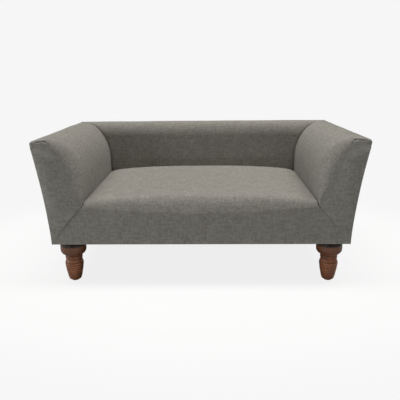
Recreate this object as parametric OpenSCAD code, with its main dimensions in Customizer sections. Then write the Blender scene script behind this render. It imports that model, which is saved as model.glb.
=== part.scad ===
// Small upholstered sofa for a dog: a timber frame with a plywood seat deck, foam and wadding,
// tight covers, a dust cover underneath and four turned legs on hanger bolts.
// Origin at the middle of the floor under the sofa, +X to the arm at the right of the photograph,
// -Y to the front, +Z up.
// The side sections are drawn in two directions: in, the distance inwards from the upright through the
// outer top edge, and height above the floor. Arms and back meet in mitres, and the back's padding
// turns over at its top with a tighter edge than the arms' rolls.

/* [Body] */
// Width over the tops of the arms
top_w = 964; // [904:10:1064]
// Depth from the front face to the top of the back
top_d = 600; // [560:10:680]
// Height of the arms and the back above the floor
top_h = 434; // [424:2:450]
// How far the arms and the back lean out between foot and top
lean = 45; // [39:1:50]
// How much of the lean comes near the top: 1 is a straight lean, more is a hollow curve
lean_bow = 1.5; // [1.2:0.1:1.7]

/* [Padding] */
// How far the padded inner faces stand in from the outer top edge
wall_in = 142; // [138:1:150]
// How far the crest of the rolled top stands in from the outer top edge
crest_in = 48; // [46:1:52]
// Height of the rolled part of the inner faces
roll_h = 130; // [116:1:136]
// Fall of the rolled top from its crest to the outer corner
top_fall = 5; // [3:0.5:7]
// Radius of the outer top corner
corner_r = 11; // [9:0.5:13]
// Depth and height of the back's rounded top edge, which turns over sooner than the arms do
back_turn_w = 32; // [28:1:36]
back_turn_h = 52; // [44:1:58]
// How far the back's padded face leans back below that edge
back_slope = 5; // [3:1:7]
// Largest radius of an arm's front edge
front_round = 46; // [42:1:48]
// Foam on the inner faces of the arms and the back
foam_t = 38; // [34:1:40]
// Foam over the tops of the arms and the back
foam_top_t = 20; // [16:1:22]
// Wadding on the seat and the front faces
wadding_t = 6; // [4:0.5:7]
// Cover fabric
fabric_t = 1.6; // [1.2:0.1:2]
// Width of fabric turned under the frame
turn_under = 14; // [11:1:15]
// Width of fabric wrapped round from the arm's front to its outer side
side_wrap = 10; // [8:1:14]
// Height of the outer side covered by the cover of the top
top_wrap = 8; // [6:1:12]

/* [Seat] */
// Height of the seat's rear corners above the floor
seat_h = 262; // [258:1:268]
// Fall of the seat from the back to its front edge
seat_fall = 10; // [6:1:14]
// Rise of the seat's crown at its middle
seat_crown = 15; // [10:1:18]
// Radius of the seat's front edge
seat_roll = 36; // [32:1:42]
// Radius of the seat's sides and back where they turn down
seat_edge_r = 9; // [8:1:14]
// Radius of the seat's rear corners, seen from above
seat_corner_r = 44; // [36:1:50]
// Depth of cover tucked down beside the arms and the back
tuck = 30; // [26:1:32]
// Height at which the slanting front seam starts beside the seat
seam_h = 242; // [238:1:244]
// How much the slanting front seam bulges towards the arm: 1 is straight
seam_bow = 1.15; // [1:0.05:1.5]

/* [Frame] */
// Thickness of rails and boards
rail_t = 22; // [20:1:24]
// Height of the seat rails
rail_h = 70; // [64:1:72]
// Width of the rear corner posts
post_w = 38; // [34:1:40]
// Width of the top rails
top_rail_w = 30; // [26:1:32]
// Height of the top rails
top_rail_h = 32; // [26:1:36]
// Height of the tack rails above the deck
tack_rail_h = 28; // [22:1:32]
// Space between the deck and the tack rails, where the covers pull through
pull_gap = 8; // [6:1:10]
// Thickness of the hardboard panels
panel_t = 3; // [2.5:0.5:4]
// Thickness of the plywood deck
deck_t = 9; // [6:1:10]
// How far the deck bears on each rail
deck_bearing = 9; // [7:1:10]
// Width of the back's middle post
mid_post_w = 40; // [34:1:50]
// Length and width of the blocks that hold the legs
block_w = 68; // [62:1:74]
// Height of the blocks that hold the legs
block_h = 40; // [36:1:46]
// Dust cover
dust_t = 0.6; // [0.4:0.1:0.8]

/* [Legs] */
// Height of the legs, glides included
leg_h = 123; // [115:1:129]
// Diameter of the collar
collar_d = 76; // [70:1:79]
// Height of the collar
collar_h = 41; // [38:1:44]
// Height of the collar's rounded edge
collar_edge_h = 29; // [25:1:32]
// Diameter of the ring under the collar
ring_d = 50; // [47:1:53]
// Height of the ring
ring_h = 12; // [10:1:14]
// Diameter of the groove between ring and body
groove_d = 45; // [40:1:45]
// Largest diameter of the body
body_d = 55; // [50:1:56]
// Diameter of the foot's flat end
foot_d = 28; // [24:1:28]
// Legs' distance in from the sides of the base
leg_side_in = 53; // [51:1:60]
// Front legs' distance in from the front face
leg_front_in = 41; // [39:1:46]
// Rear legs' distance in from the back of the base
leg_back_in = 52; // [50:1:58]
// Diameter of a glide
glide_d = 22; // [18:1:24]
// Thickness of a glide
glide_t = 2.5; // [2:0.5:4]

/* [Fasteners] */
// Diameter of the hanger bolts
bolt_d = 8; // [6:1:8]
// Length of a hanger bolt in the leg
bolt_down = 34; // [28:1:40]
// Length of a hanger bolt above the leg
bolt_up = 36; // [32:1:40]
// Diameter of a tee nut's flange
tee_flange_d = 19; // [17:1:20]
// Length of a tee nut
tee_h = 9; // [8:1:11]
// Diameter of the wood screws
screw_d = 4; // [3.5:0.5:4.5]
// Diameter of a screw's head
screw_head_d = 8; // [7:0.5:9]
// Crown width of a staple
staple_w = 10; // [8:1:12]
// Length of a staple's legs
staple_leg = 8; // [6:1:10]

/* [Hidden] */
// Clearance between pieces that lie against each other
gap = 0.3;
// Clearance around a screw, nail, bolt or staple in its hole
hole_gap = 0.05;
// How far a cutting shape reaches past what it cuts
over = 20;
// Wall of a tee nut's barrel
tee_wall = 1.3;
// Thickness of a tee nut's flange
tee_flange_t = 1.5;
// Radius and length of a glide's nail
nail_r = 1.2;
nail_l = 14;
// Height of a screw's countersunk head
head_h = 2.6;
// Lengths of the three kinds of screw
deck_screw_l = 32;
block_screw_l = 46;
frame_screw_l = 70;
board_screw_l = 48;
// Wire size of a staple, its distance in from the base's edges, and the spacing wanted
wire_t = 1;
staple_in = 20;
staple_step = 60;
// Radius where the covers turn under at the bottom, and at the outer front edges of the arms
hem_r = 3;
edge_r = 2.5;
// Height of the slit at an arm's outer front corner, under the fabric of its top
corner_slit = 1.5;
// Play between an arm's front wadding and the cover around it
pad_play = 3;
// How far the front seam starts beneath the lower edge of an arm's inner face
seam_fall = 4;
// Depth over which the arm cover's tucked edge comes down behind the front seam
tuck_start = 8;
tuck_end = 34;
// Distance of the dust cover's edge in from the base's edges
dust_in = 8;

half_w = top_w / 2;
front_y = -top_d / 2;
back_y = top_d / 2;
frame_z = leg_h + dust_t + fabric_t;
hem_z = leg_h + dust_t;
deck_z = frame_z + rail_h;
deck_top = deck_z + deck_t;
low_z = deck_top + gap;
tack_z = deck_top + pull_gap;
// Depth from the outer face to the frame, to the front boards, and to the inner panels
shell = fabric_t + gap + panel_t;
board_in = fabric_t + gap + wadding_t + gap;
pad_side = fabric_t + gap + foam_t + gap;
pad_top = fabric_t + gap + foam_top_t + gap;
board_y = front_y + board_in;
roll_w = wall_in - crest_in;
roll_z = top_h - roll_h;
rail_top = top_h - pad_top - panel_t;
seat_half = half_w - wall_in - gap;
seat_back_y = back_y - wall_in - gap;
tack_in = wall_in - pad_side - panel_t - rail_t;
leg_x = half_w - lean - leg_side_in;
leg_front_y = front_y + leg_front_in;
leg_rear_y = back_y - lean - leg_back_in;
block_z = leg_h + dust_t;
block_top = frame_z + block_h;
screw_r = screw_d / 2;
bolt_r = bolt_d / 2;
round_fn = 48;

SIDES = [-1, 1];

// Section of the arms and the back

// Heights between which the leaning outer face is flat, and how far it stands in at each of them
lean_steps = 8;
lean_table = [for (n = [0:lean_steps]) let (rise = n / lean_steps)
    [leg_h + rise * (top_h - leg_h), lean * (1 - pow(rise, lean_bow))]];

// How far the leaning outer face stands in at a height
function lean_at(z) = lookup(z, lean_table);

// A height, the bends of the outer face above it, and another height
function lean_heights(z0, z1) =
    concat([z0], [for (row = lean_table) if (row[0] > z0 && row[0] < z1) row[0]], [z1]);

corner_z = top_h - top_fall - corner_r;
corner_in = lean_at(corner_z) + corner_r;
drop_z = corner_z - top_wrap;

// Steps along the section: up the wall, over the roll, across the top, round the corner and down outside
wall_steps = 3;
roll_steps = 8;
top_steps = 2;
corner_steps = 3;
k_crest = wall_steps + roll_steps;
k_corner = k_crest + top_steps;
k_drop = k_corner + corner_steps;
k_end = k_drop + 1;

// Point k of the padded surface, a depth e beneath it, with its lower edge at low: [in, height]
function skin_point(k, e, low) =
    k <= wall_steps ? [wall_in - e, low + (roll_z - low) * k / wall_steps]
    : k <= k_crest ? let (a = 90 * (k - wall_steps) / roll_steps)
        [crest_in + (roll_w - e) * cos(a), roll_z + (roll_h - e) * sin(a)]
    : k <= k_corner ? let (s = (k - k_crest) / top_steps)
        [crest_in + s * (corner_in - crest_in), top_h - e - top_fall * s * s]
    : k <= k_drop ? let (a = 90 * (k - k_corner) / corner_steps, r = corner_r - e)
        [corner_in - r * sin(a), corner_z + r * cos(a)]
    : [lean_at(drop_z) + e, drop_z];

// How far in the back's own padded face stands where the arms' section has its point k, at the same height
back_turn_z = top_h - back_turn_h;
back_crest_in = wall_in - back_slope - back_turn_w;
function back_in(k, e) = let (
    p = skin_point(k, e, low_z),
    rise = (p.y - back_turn_z) / (back_turn_h - e),
    slope = back_slope * max(0, p.y - roll_z) / (back_turn_z - roll_z),
    across = (p.x - corner_in) / (crest_in - corner_in)
) k > k_corner ? p.x
    : k > k_crest ? corner_in + (back_crest_in - corner_in) * across
    : rise <= 0 ? wall_in - e - slope
    : back_crest_in + (back_turn_w - e) * sqrt(max(0, 1 - rise * rise));

// Point k of the surface that carries the padding: side and top are its depths beneath the padded surface
function core_point(k, side, top, low) =
    k <= wall_steps ? [wall_in - side, low + (roll_z - low) * k / wall_steps]
    : k <= k_crest ? let (a = 90 * (k - wall_steps) / roll_steps)
        [crest_in + (roll_w - side) * cos(a), roll_z + (roll_h - top) * sin(a)]
    : let (s = (k - k_crest) / (k_drop - k_crest))
        [crest_in + s * (lean_at(top_h - top) + shell - crest_in), top_h - top];

// Radius of the arm's front edge at point k: nearly none at the seam, most on the roll, little at the top
front_round_shares = [[0, 0.05], [0.06, 0.12], [0.12, 0.42], [0.22, 0.82], [0.36, 1],
    [0.5, 0.8], [0.65, 0.3], [0.8, 0.18], [1, 0.18]];
function front_r(k) = front_round * lookup(k / k_end, front_round_shares);

// Inset of a rounded edge of radius r at a depth d behind the face
function round_in(d, r) = d >= r ? 0 : r - sqrt(r * r - (r - d) * (r - d));

// Solids from grids of points

// A closed solid between two grids of points: the outer surface, and the inner one behind it
module sheet_solid(outer, inner) {
    rows = len(outer);
    cols = len(outer[0]);
    size = rows * cols;
    points = [for (g = [outer, inner]) for (row = g) for (p = row) p];
    function quad(a, b, c, d) = [[a, b, c], [a, c, d]];
    faces = [
        for (i = [0:rows - 2]) for (j = [0:cols - 2])
            let (a = i * cols + j, b = a + 1, c = a + cols + 1, d = a + cols)
            each concat(quad(a, b, c, d), quad(size + c, size + b, size + a, size + d)),
        for (i = [0:rows - 2])
            let (a = i * cols, b = a + cols, c = a + cols - 1, d = c + cols)
            each concat(quad(a, b, size + b, size + a), quad(d, c, size + c, size + d)),
        for (j = [0:cols - 2])
            let (a = j, b = j + 1, c = (rows - 1) * cols + j, d = c + 1)
            each concat(quad(b, a, size + a, size + b), quad(d, size + d, size + c, c))
    ];
    polyhedron(points, faces);
}

// Placing sections

module for_side(side) {
    if (side > 0)
        children();
    else
        mirror([1, 0, 0]) children();
}

// Runs a section of [in, height] along the right arm, between two places along the depth
module along_arm(y0, y1) {
    translate([half_w, y1, 0]) mirror([1, 0, 0]) rotate([90, 0, 0]) linear_extrude(y1 - y0) children();
}

// Runs a section of [in, height] along the back, across the whole width
module along_back() {
    translate([-half_w, back_y, 0]) mirror([0, 1, 0]) rotate([90, 0, 90]) linear_extrude(top_w) children();
}

// Points down the leaning outer face, a depth d behind it, from the upper height to the lower one
function lean_line(d, z0, z1) = let (heights = lean_heights(z0, z1), last = len(heights) - 1)
    [for (n = [last:-1:0]) [lean_at(heights[n]) + d, heights[n]]];

// A section between two depths behind the leaning outer face
module band(d0, d1, z0, z1) {
    polygon(concat([for (z = lean_heights(z0, z1)) [lean_at(z) + d0, z]], lean_line(d1, z0, z1)));
}

module arm_band(d0, d1, z0, z1, y0 = front_y, y1 = back_y) {
    along_arm(y0, y1) band(d0, d1, z0, z1);
}

module back_band(d0, d1, z0, z1) {
    along_back() band(d0, d1, z0, z1);
}

// All that lies further in than a depth behind both arms' outer faces
module between_arms(d, z0, z1) {
    intersection_for (side = SIDES)
        for_side(side) arm_band(d, top_w, z0, z1);
}

// The part of the plan that belongs to the right arm, up to its mitre with the back
module arm_side_of_mitre(play) {
    linear_extrude(top_h)
        polygon([[half_w, front_y], [half_w, back_y - play], [0, back_y - half_w - play], [0, front_y]]);
}

module back_side_of_mitre(play) {
    linear_extrude(top_h)
        polygon([[half_w - play, back_y], [play - half_w, back_y], [play - half_w + top_d, front_y],
            [half_w - play - top_d, front_y]]);
}

// Closed section of the frame's outline inside an arm or the back
module core_section(side, top) {
    polygon(concat(
        [for (k = [0:k_drop - 1]) core_point(k, side, top, frame_z)],
        lean_line(shell, frame_z, top_h - top)
    ));
}

// Screws, bolts and staples

// How deep a head goes in so that it lies beneath a leaning face
head_sink = lean * lean_bow / (top_h - leg_h) * screw_head_d / 2 + gap;

// A countersunk screw from the origin along -Z, with its head's face at the origin; play makes it a hole
module screw(length, play = 0) {
    head_r = screw_head_d / 2;
    mouth = play > 0 ? 2 * head_sink : 0;
    rotate_extrude($fn = round_fn)
        polygon(concat([[0, mouth], [head_r + play, mouth]], play > 0 ? [[head_r + play, 0]] : [],
            [[screw_r + play, -head_h], [screw_r + play, -length - play], [0, -length - play]]));
}

// Places of the deck's screws: along the front and back rails, and down the side rails
deck_screw_share = 0.62;
function deck_side_in() = lean_at(deck_z) + shell + rail_t - deck_bearing / 2;
deck_screw_places = concat(
    [for (s = [-1, 0, 1]) [s * deck_screw_share * seat_half, board_y + rail_t - deck_bearing / 2]],
    [for (s = [-1, 1]) [s * deck_screw_share * seat_half, back_y - deck_side_in()]],
    [for (side = SIDES) for (s = [-1, 1])
        [side * (half_w - deck_side_in()), s * deck_screw_share * -front_y / 2]]
);

module deck_screw_set(play = 0) {
    for (p = deck_screw_places)
        translate([p.x, p.y, deck_top]) screw(deck_screw_l, play);
}

// Screws through the rails into the blocks that hold the legs; the shares place them along the blocks
block_screw_shares = [0.72, 0.5, 0.62];
block_screw_z = frame_z + block_h / 2;
function block_rail_in() = lean_at(block_screw_z) + shell + head_sink;

module block_screw_set(play = 0) {
    for (side = SIDES) for_side(side) {
        block_x = half_w - block_rail_in() - rail_t - block_w * block_screw_shares[0];
        side_x = half_w - block_rail_in();
        front_block_y = board_y + rail_t + block_w * block_screw_shares[1];
        rear_block_y = back_y - block_rail_in() - rail_t - block_w * block_screw_shares[2];
        translate([block_x, board_y, block_screw_z]) rotate([90, 0, 0]) screw(block_screw_l, play);
        translate([block_x, back_y - block_rail_in(), block_screw_z])
            rotate([-90, 0, 0]) screw(block_screw_l, play);
        for (y = [front_block_y, rear_block_y])
            translate([side_x, y, block_screw_z]) rotate([0, 90, 0]) screw(block_screw_l, play);
    }
}

// Screws through the front boards and the rear posts into the ends of the rails
rail_screw_share = 0.78;
top_screw_z = rail_top - top_rail_h / 2;
tack_screw_z = tack_z + tack_rail_h / 2;
rail_screw_z = frame_z + rail_h * rail_screw_share;
// Spacing in height between the screws that cross inside a post
cross_pitch = 10;

module frame_screw_set(play = 0) {
    for (side = SIDES) for_side(side) {
        // From the front into the arm's top rail, tack rail and side rail
        for (p = [[lean_at(top_screw_z) + shell + top_rail_w / 2, top_screw_z],
                [tack_in + rail_t / 2, tack_screw_z],
                [lean_at(rail_screw_z) + shell + rail_t / 2, rail_screw_z]])
            translate([half_w - p.x, board_y, p.y]) rotate([90, 0, 0]) screw(board_screw_l, play);
        // From the back through the post into the arm's top rail and side rail
        for (p = [[lean_at(top_screw_z) + shell + top_rail_w / 2, top_screw_z - cross_pitch / 2],
                [lean_at(rail_screw_z) + shell + rail_t / 2, rail_screw_z - cross_pitch / 2]])
            translate([half_w - p.x, back_y - lean_at(p.y) - shell - head_sink, p.y])
                rotate([-90, 0, 0]) screw(frame_screw_l, play);
        // From the side through the post into the back's top rail and lower rail
        for (p = [[lean_at(top_screw_z) + shell + top_rail_w / 2, top_screw_z + cross_pitch / 2],
                [lean_at(rail_screw_z) + shell + rail_t / 2, rail_screw_z + cross_pitch / 2]])
            translate([half_w - lean_at(p.y) - shell - head_sink, back_y - p.x, p.y])
                rotate([0, 90, 0]) screw(frame_screw_l, play);
    }
}

// Staples round the underside, clear of the legs: [x, y, turn]
staple_run_x = leg_x - collar_d;
staple_run_y0 = leg_front_y + collar_d;
staple_run_y1 = leg_rear_y - collar_d;
staples_across = floor(staple_run_x / staple_step);
staples_deep = floor((staple_run_y1 - staple_run_y0) / staple_step);
staple_places = concat(
    [for (y = [front_y + staple_in, back_y - lean - staple_in]) for (n = [-staples_across:staples_across])
        [n * staple_run_x / staples_across, y, 0]],
    [for (side = SIDES) for (n = [0:staples_deep])
        [side * (half_w - lean - staple_in),
            staple_run_y0 + n * (staple_run_y1 - staple_run_y0) / staples_deep, 90]]
);

module staple_set() {
    for (p = staple_places)
        translate([p.x, p.y, leg_h]) rotate([0, 0, p.z]) {
            translate([-staple_w / 2, -wire_t / 2, -wire_t]) cube([staple_w, wire_t, wire_t]);
            for (s = [0, staple_w - wire_t])
                translate([s - staple_w / 2, -wire_t / 2, -wire_t]) cube([wire_t, wire_t, wire_t + staple_leg]);
        }
}

// The slots that the staples' legs make
module staple_slots() {
    slot = [staple_w + 2 * hole_gap, wire_t + 2 * hole_gap, staple_leg + hole_gap];
    for (p = staple_places)
        translate([p.x, p.y, leg_h]) rotate([0, 0, p.z])
            translate([-slot.x / 2, -slot.y / 2, 0]) cube(slot);
}

module at_legs() {
    for (side = SIDES) for (y = [leg_front_y, leg_rear_y])
        translate([side * leg_x, y, 0]) children();
}

module bolt_holes() {
    at_legs() translate([0, 0, leg_h - bolt_down])
        cylinder(r = bolt_r + hole_gap, h = bolt_down + bolt_up + over, $fn = round_fn);
}

// Frame

module front_rail() {
    color("burlywood") difference() {
        translate([wall_in - pad_side - half_w, board_y, frame_z])
            cube([top_w - 2 * (wall_in - pad_side), rail_t, rail_h]);
        deck_screw_set(hole_gap);
        block_screw_set(hole_gap);
        staple_slots();
    }
}

module back_rail() {
    color("burlywood") difference() {
        intersection() {
            back_band(shell, shell + rail_t, frame_z, deck_z);
            between_arms(shell + post_w, frame_z, deck_z);
        }
        deck_screw_set(hole_gap);
        block_screw_set(hole_gap);
        frame_screw_set(hole_gap);
        staple_slots();
    }
}

module side_rail(side) {
    color("burlywood") difference() {
        for_side(side) intersection() {
            arm_band(shell, shell + rail_t, frame_z, deck_z, board_y + rail_t);
            back_band(shell + post_w, top_d, frame_z, deck_z);
        }
        deck_screw_set(hole_gap);
        block_screw_set(hole_gap);
        frame_screw_set(hole_gap);
        staple_slots();
    }
}

module cross_rail() {
    color("burlywood") intersection() {
        translate([-rail_t / 2, board_y + rail_t, frame_z]) cube([rail_t, top_d, rail_h]);
        back_band(shell + rail_t, top_d, frame_z, deck_z);
    }
}

module seat_deck() {
    color("tan") difference() {
        intersection() {
            between_arms(shell + rail_t - deck_bearing, deck_z, deck_top);
            back_band(shell + rail_t - deck_bearing, top_d, deck_z, deck_top);
            translate([-half_w, board_y + rail_t - deck_bearing, deck_z]) cube([top_w, top_d, deck_t]);
        }
        for (side = SIDES) for_side(side) {
            // Notch round the arm's front board
            translate([half_w - wall_in + pad_side - gap, board_y, deck_z - over])
                cube([wall_in, rail_t + gap, deck_t + 2 * over]);
            // Notch round the rear post
            intersection() {
                arm_band(0, shell + post_w + gap, deck_z - over, deck_top + over);
                back_band(0, shell + post_w + gap, deck_z - over, deck_top + over);
            }
        }
        deck_screw_set(hole_gap);
    }
}

module leg_block(side, rear) {
    color("peru") difference() {
        for_side(side) intersection() {
            arm_band(shell + rail_t, shell + rail_t + block_w, block_z, block_top);
            if (rear)
                back_band(shell + rail_t, shell + rail_t + block_w, block_z, block_top);
            else
                translate([0, board_y + rail_t, block_z]) cube([half_w, block_w, block_top - block_z]);
        }
        if (rear)
            for_side(side) intersection() {
                arm_band(0, shell + post_w, block_z - over, block_top + over);
                back_band(0, shell + post_w, block_z - over, block_top + over);
            }
        block_screw_set(hole_gap);
        tee_nut_holes();
        bolt_holes();
    }
}

module arm_front_board(side) {
    color("burlywood") difference() {
        for_side(side) along_arm(board_y, board_y + rail_t) core_section(pad_side, pad_top);
        frame_screw_set(hole_gap);
    }
}

module rear_post(side) {
    color("burlywood") difference() {
        for_side(side) intersection() {
            arm_band(shell, shell + post_w, frame_z, rail_top);
            back_band(shell, shell + post_w, frame_z, rail_top);
            along_arm(front_y, back_y) core_section(pad_side + panel_t, pad_top + panel_t);
            along_back() core_section(pad_side + panel_t, pad_top + panel_t);
        }
        frame_screw_set(hole_gap);
    }
}

module arm_top_rail(side) {
    color("burlywood") difference() {
        for_side(side) intersection() {
            arm_band(shell, shell + top_rail_w, rail_top - top_rail_h, rail_top, board_y + rail_t);
            back_band(shell + post_w, top_d, rail_top - top_rail_h, rail_top);
            along_arm(front_y, back_y) core_section(pad_side + panel_t, pad_top + panel_t);
        }
        frame_screw_set(hole_gap);
    }
}

module arm_tack_rail(side) {
    color("burlywood") difference() {
        for_side(side) along_arm(board_y + rail_t, back_y - tack_in - rail_t)
            translate([tack_in, tack_z]) square([rail_t, tack_rail_h]);
        frame_screw_set(hole_gap);
    }
}

module back_top_rail() {
    color("burlywood") difference() {
        intersection() {
            back_band(shell, shell + top_rail_w, rail_top - top_rail_h, rail_top);
            between_arms(shell + post_w, rail_top - top_rail_h, rail_top);
            along_back() core_section(pad_side + panel_t, pad_top + panel_t);
        }
        frame_screw_set(hole_gap);
    }
}

module back_tack_rail() {
    color("burlywood") intersection() {
        along_back() translate([tack_in, tack_z]) square([rail_t, tack_rail_h]);
        between_arms(shell + post_w, tack_z, tack_z + tack_rail_h);
    }
}

module back_middle_post() {
    color("burlywood") intersection() {
        back_band(shell, shell + rail_t - deck_bearing - gap, deck_z, rail_top - top_rail_h);
        translate([-mid_post_w / 2, front_y, deck_z]) cube([mid_post_w, top_d, top_h]);
    }
}

// Bent hardboard that carries the foam, from the tack rail up over the top rail
module inner_panel_section() {
    polygon(concat(
        [for (k = [0:k_drop]) core_point(k, pad_side, pad_top, tack_z)],
        [for (k = [k_drop:-1:0]) core_point(k, pad_side + panel_t, pad_top + panel_t, tack_z)]
    ));
}

module arm_inner_panel(side) {
    color("saddlebrown") for_side(side) intersection() {
        along_arm(board_y + rail_t, back_y) inner_panel_section();
        arm_side_of_mitre(gap);
    }
}

module back_inner_panel() {
    color("saddlebrown") intersection() {
        along_back() inner_panel_section();
        back_side_of_mitre(gap);
    }
}

module arm_outer_panel(side) {
    color("saddlebrown") for_side(side) intersection() {
        arm_band(fabric_t + gap, shell, frame_z, rail_top, board_y);
        arm_side_of_mitre(gap);
    }
}

module back_outer_panel() {
    color("saddlebrown") intersection() {
        back_band(fabric_t + gap, shell, frame_z, rail_top);
        back_side_of_mitre(gap);
    }
}

// Foam and wadding

// Depths behind the front face of the rows of the foam's rounded front edge
foam_rows = 4;
// Extra room between the foam's rounded front edge and the cover
bend_play = 0.5;
foam_e = fabric_t + gap;
function foam_depth(n) = board_in + (front_round - board_in) * n / foam_rows;
// Foot of the foam and the cover at a depth d behind an arm's front: at the seam, then down to the deck
function foot_z(d) = seam_h + max(0, min(1, (d - tuck_start) / (tuck_end - tuck_start))) * (low_z - seam_h);
// Rows along the straight part of an arm, and across the back
run_rows = 3;

// Grid of a layer of an arm, from the front to the mitre, at one depth beneath the padded surface
foam_outer = [for (n = [foam_rows + run_rows:-1:0]) [for (k = [0:k_drop])
    let (d = foam_depth(min(n, foam_rows)),
        bend = n < foam_rows ? bend_play : 0,
        e = foam_e + bend + round_in(max(d - foam_e - bend, 0), max(front_r(k) - foam_e - bend, gap)),
        t = max(n - foam_rows, 0) / run_rows,
        p = skin_point(k, e, foot_z(d + t * top_d)),
        y = front_y + d + t * (top_d - back_in(k, e) - gap - d))
    [half_w - p.x, y, p.y]]];
foam_inner = [for (n = [foam_rows + run_rows:-1:0]) [for (k = [0:k_drop])
    let (d = foam_depth(min(n, foam_rows)),
        t = max(n - foam_rows, 0) / run_rows,
        p = core_point(k, pad_side - gap, pad_top - gap, foot_z(d + t * top_d)),
        y = front_y + d + t * (top_d - p.x - gap - d))
    [half_w - p.x, y, p.y]]];

module arm_foam(side) {
    color("khaki") for_side(side) sheet_solid(foam_outer, foam_inner);
}

// Grid of a layer of the back between its mitres, from the arms' points [in, height] at the mitre
// and how far in the back itself stands at each of them
function back_grid(section, ins) = [for (n = [-run_rows:run_rows]) [for (k = [0:len(section) - 1])
    [n / run_rows * (half_w - section[k].x - gap), back_y - ins[k], section[k].y]]];

// Grid of the back's padded surface up to its point k_last, a depth e beneath it
function back_skin(k_last, e) =
    back_grid([for (k = [0:k_last]) skin_point(k, e, low_z)], [for (k = [0:k_last]) back_in(k, e)]);

module back_foam() {
    core = [for (k = [0:k_drop]) core_point(k, pad_side - gap, pad_top - gap, low_z)];
    color("khaki") sheet_solid(back_skin(k_drop, foam_e), back_grid(core, [for (p = core) p.x]));
}

// Front wadding of an arm, on its front board and the foam's end
module arm_front_wadding(side) {
    wadding_foot = hem_z + 4 * pad_play;
    color("white") for_side(side) along_arm(front_y + fabric_t + gap, board_y - gap)
        polygon(concat(
            [for (k = [0:k_corner]) skin_point(k, front_r(k) + pad_play, seam_h + pad_play)],
            lean_line(edge_r + fabric_t + gap, wadding_foot, drop_z - 2 * pad_play),
            [for (n = [panel_rows - 1:-1:0])
                [half_w - front_half(panel_z(n, 0)) - pad_play, panel_z(n, 0) + pad_play]]
        ));
}

// Seat

// Steps across the seat: down beside the arm, round the edge, over the crown, and the same again
edge_steps = 3;
crown_steps = 8;
i_end = 2 * (edge_steps + 1) + crown_steps;
// Steps from back to front: up behind, round the edge, over the top, round the front and down to the hem
j_edge = edge_steps + 1;
top_rows = 5;
front_rows = 6;
panel_rows = 4;
j_top = j_edge + top_rows;
j_front = j_top + front_rows;
j_panel = j_front + panel_rows;
j_end = j_panel + 3;
// Spacing of the first rows beside the seam on the front
seam_pitch = 3;
// How soon the crown reaches its full height behind the front edge, and how flat it is in the middle
crown_gain = 1.6;
crown_power = 3;

// Radius of the front edge: smaller beside the arms, and growing to the full radius over some steps
side_roll_share = 0.55;
roll_growth = 3;
function roll_at(m) = seat_roll
    * (1 - (1 - side_roll_share) * max(0, 1 - max(0, m - j_edge) / roll_growth));

// Heights of the rows down the front panel to the hem, at step m from its side
function panel_z(n, m) = let (top_z = seat_h - seat_fall - roll_at(m))
    top_z + n / panel_rows * (hem_z + hem_r - top_z);

// Half width of the seat's cover at a height on the front: it follows the slanting seam to the hem's corner
seam_top = seam_h - seam_fall;
function seam_share(z) = max(0, min(1, (z - hem_z) / (seam_top - hem_z)));
function front_half(z) = seat_half + (1 - pow(seam_share(z), seam_bow)) * (wall_in - lean - edge_r);

// Angle at which the rounding of the seat's edges starts
edge_start = 20;

// Where step i lies across an edge of radius r: [distance in from the edge, drop below the top]
function edge_step(i, r, depth) = i == 0 ? [0, depth]
    : let (a = edge_start + (90 - edge_start) * (i - 1) / edge_steps) [r * (1 - cos(a)), r * (1 - sin(a))];

// Moves a point near a rear corner onto its rounding: d is its distances in from side and back
function round_corner(d, r) = let (p = 1 - d.x / r, q = 1 - d.y / r)
    p <= 0 || q <= 0 ? d : [r * (1 - p * sqrt(1 - q * q / 2)), r * (1 - q * sqrt(1 - p * p / 2))];

// A point of the seat's surface, a depth e beneath it; wide is 1 where it spreads along the front seam
function seat_point(i, j, e, wide) = let (
    m = min(i, i_end - i),
    sign = i < i_end - i ? -1 : 1,
    // Angle round the front edge, and how far the surface there is still a top
    theta = j <= j_top ? 0 : min(90, 90 * (j - j_top) / front_rows),
    flat_share = cos(theta) * cos(theta),
    ring = min(m, j, j_edge),
    side_in = edge_step(min(m, j_edge), seat_edge_r - e, tuck - e).x,
    back_in = edge_step(min(j, j_edge), seat_edge_r - e, tuck - e).x,
    drop = flat_share * edge_step(ring, seat_edge_r - e, tuck - e).y,
    corner = j <= j_edge && m <= j_edge ? round_corner([side_in, back_in], seat_corner_r - e)
        : [side_in, back_in],
    t = max(0, min(1, (j - j_edge) / top_rows)),
    roll = roll_at(m),
    bare_z = theta < 90 ? seat_h - seat_fall * t - roll + (roll - e) * cos(theta)
        : panel_z(min(j - j_front, panel_rows), m),
    half = (wide > 0 ? front_half(bare_z) : seat_half) - e
        - flat_share * corner.x - (1 - flat_share) * seam_pitch * min(m, j_edge),
    across = m < j_edge ? 1 : abs(i - i_end / 2) / (crown_steps / 2),
    fade = min(1, crown_gain * sin(90 * min(1, 1 - (j - j_edge) / (j_front - j_edge)))),
    rise = j >= j_front ? 0 : seat_crown * (1 - pow(across, crown_power)) * flat_share * fade,
    y = j <= j_edge ? seat_back_y - e - corner.y
        : j <= j_top ? seat_back_y - seat_edge_r + t * (front_y + roll - seat_back_y + seat_edge_r)
        : front_y + roll - (roll - e + rise - drop) * sin(theta)
) [sign * across * half, y, bare_z + (rise - drop) * cos(theta)];

// The cover's last rows: round the hem and under the frame
function hem_point(i, j, e) = let (
    p = seat_point(i, j_panel, e, 1),
    n = j - j_panel,
    a = 45 * min(n, 2),
    y = n < 3 ? front_y + hem_r - (hem_r - e) * cos(a) : front_y + turn_under,
    z = hem_z + hem_r - (hem_r - e) * sin(a)
) [p.x, y, z];

function cover_point(i, j, e) = j <= j_panel ? seat_point(i, j, e, 1) : hem_point(i, j, e);

module seat_cover() {
    color("dimgray") sheet_solid(
        [for (j = [j_end:-1:0]) [for (i = [i_end:-1:0]) cover_point(i, j, 0)]],
        [for (j = [j_end:-1:0]) [for (i = [i_end:-1:0]) cover_point(i, j, fabric_t)]]
    );
}

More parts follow.
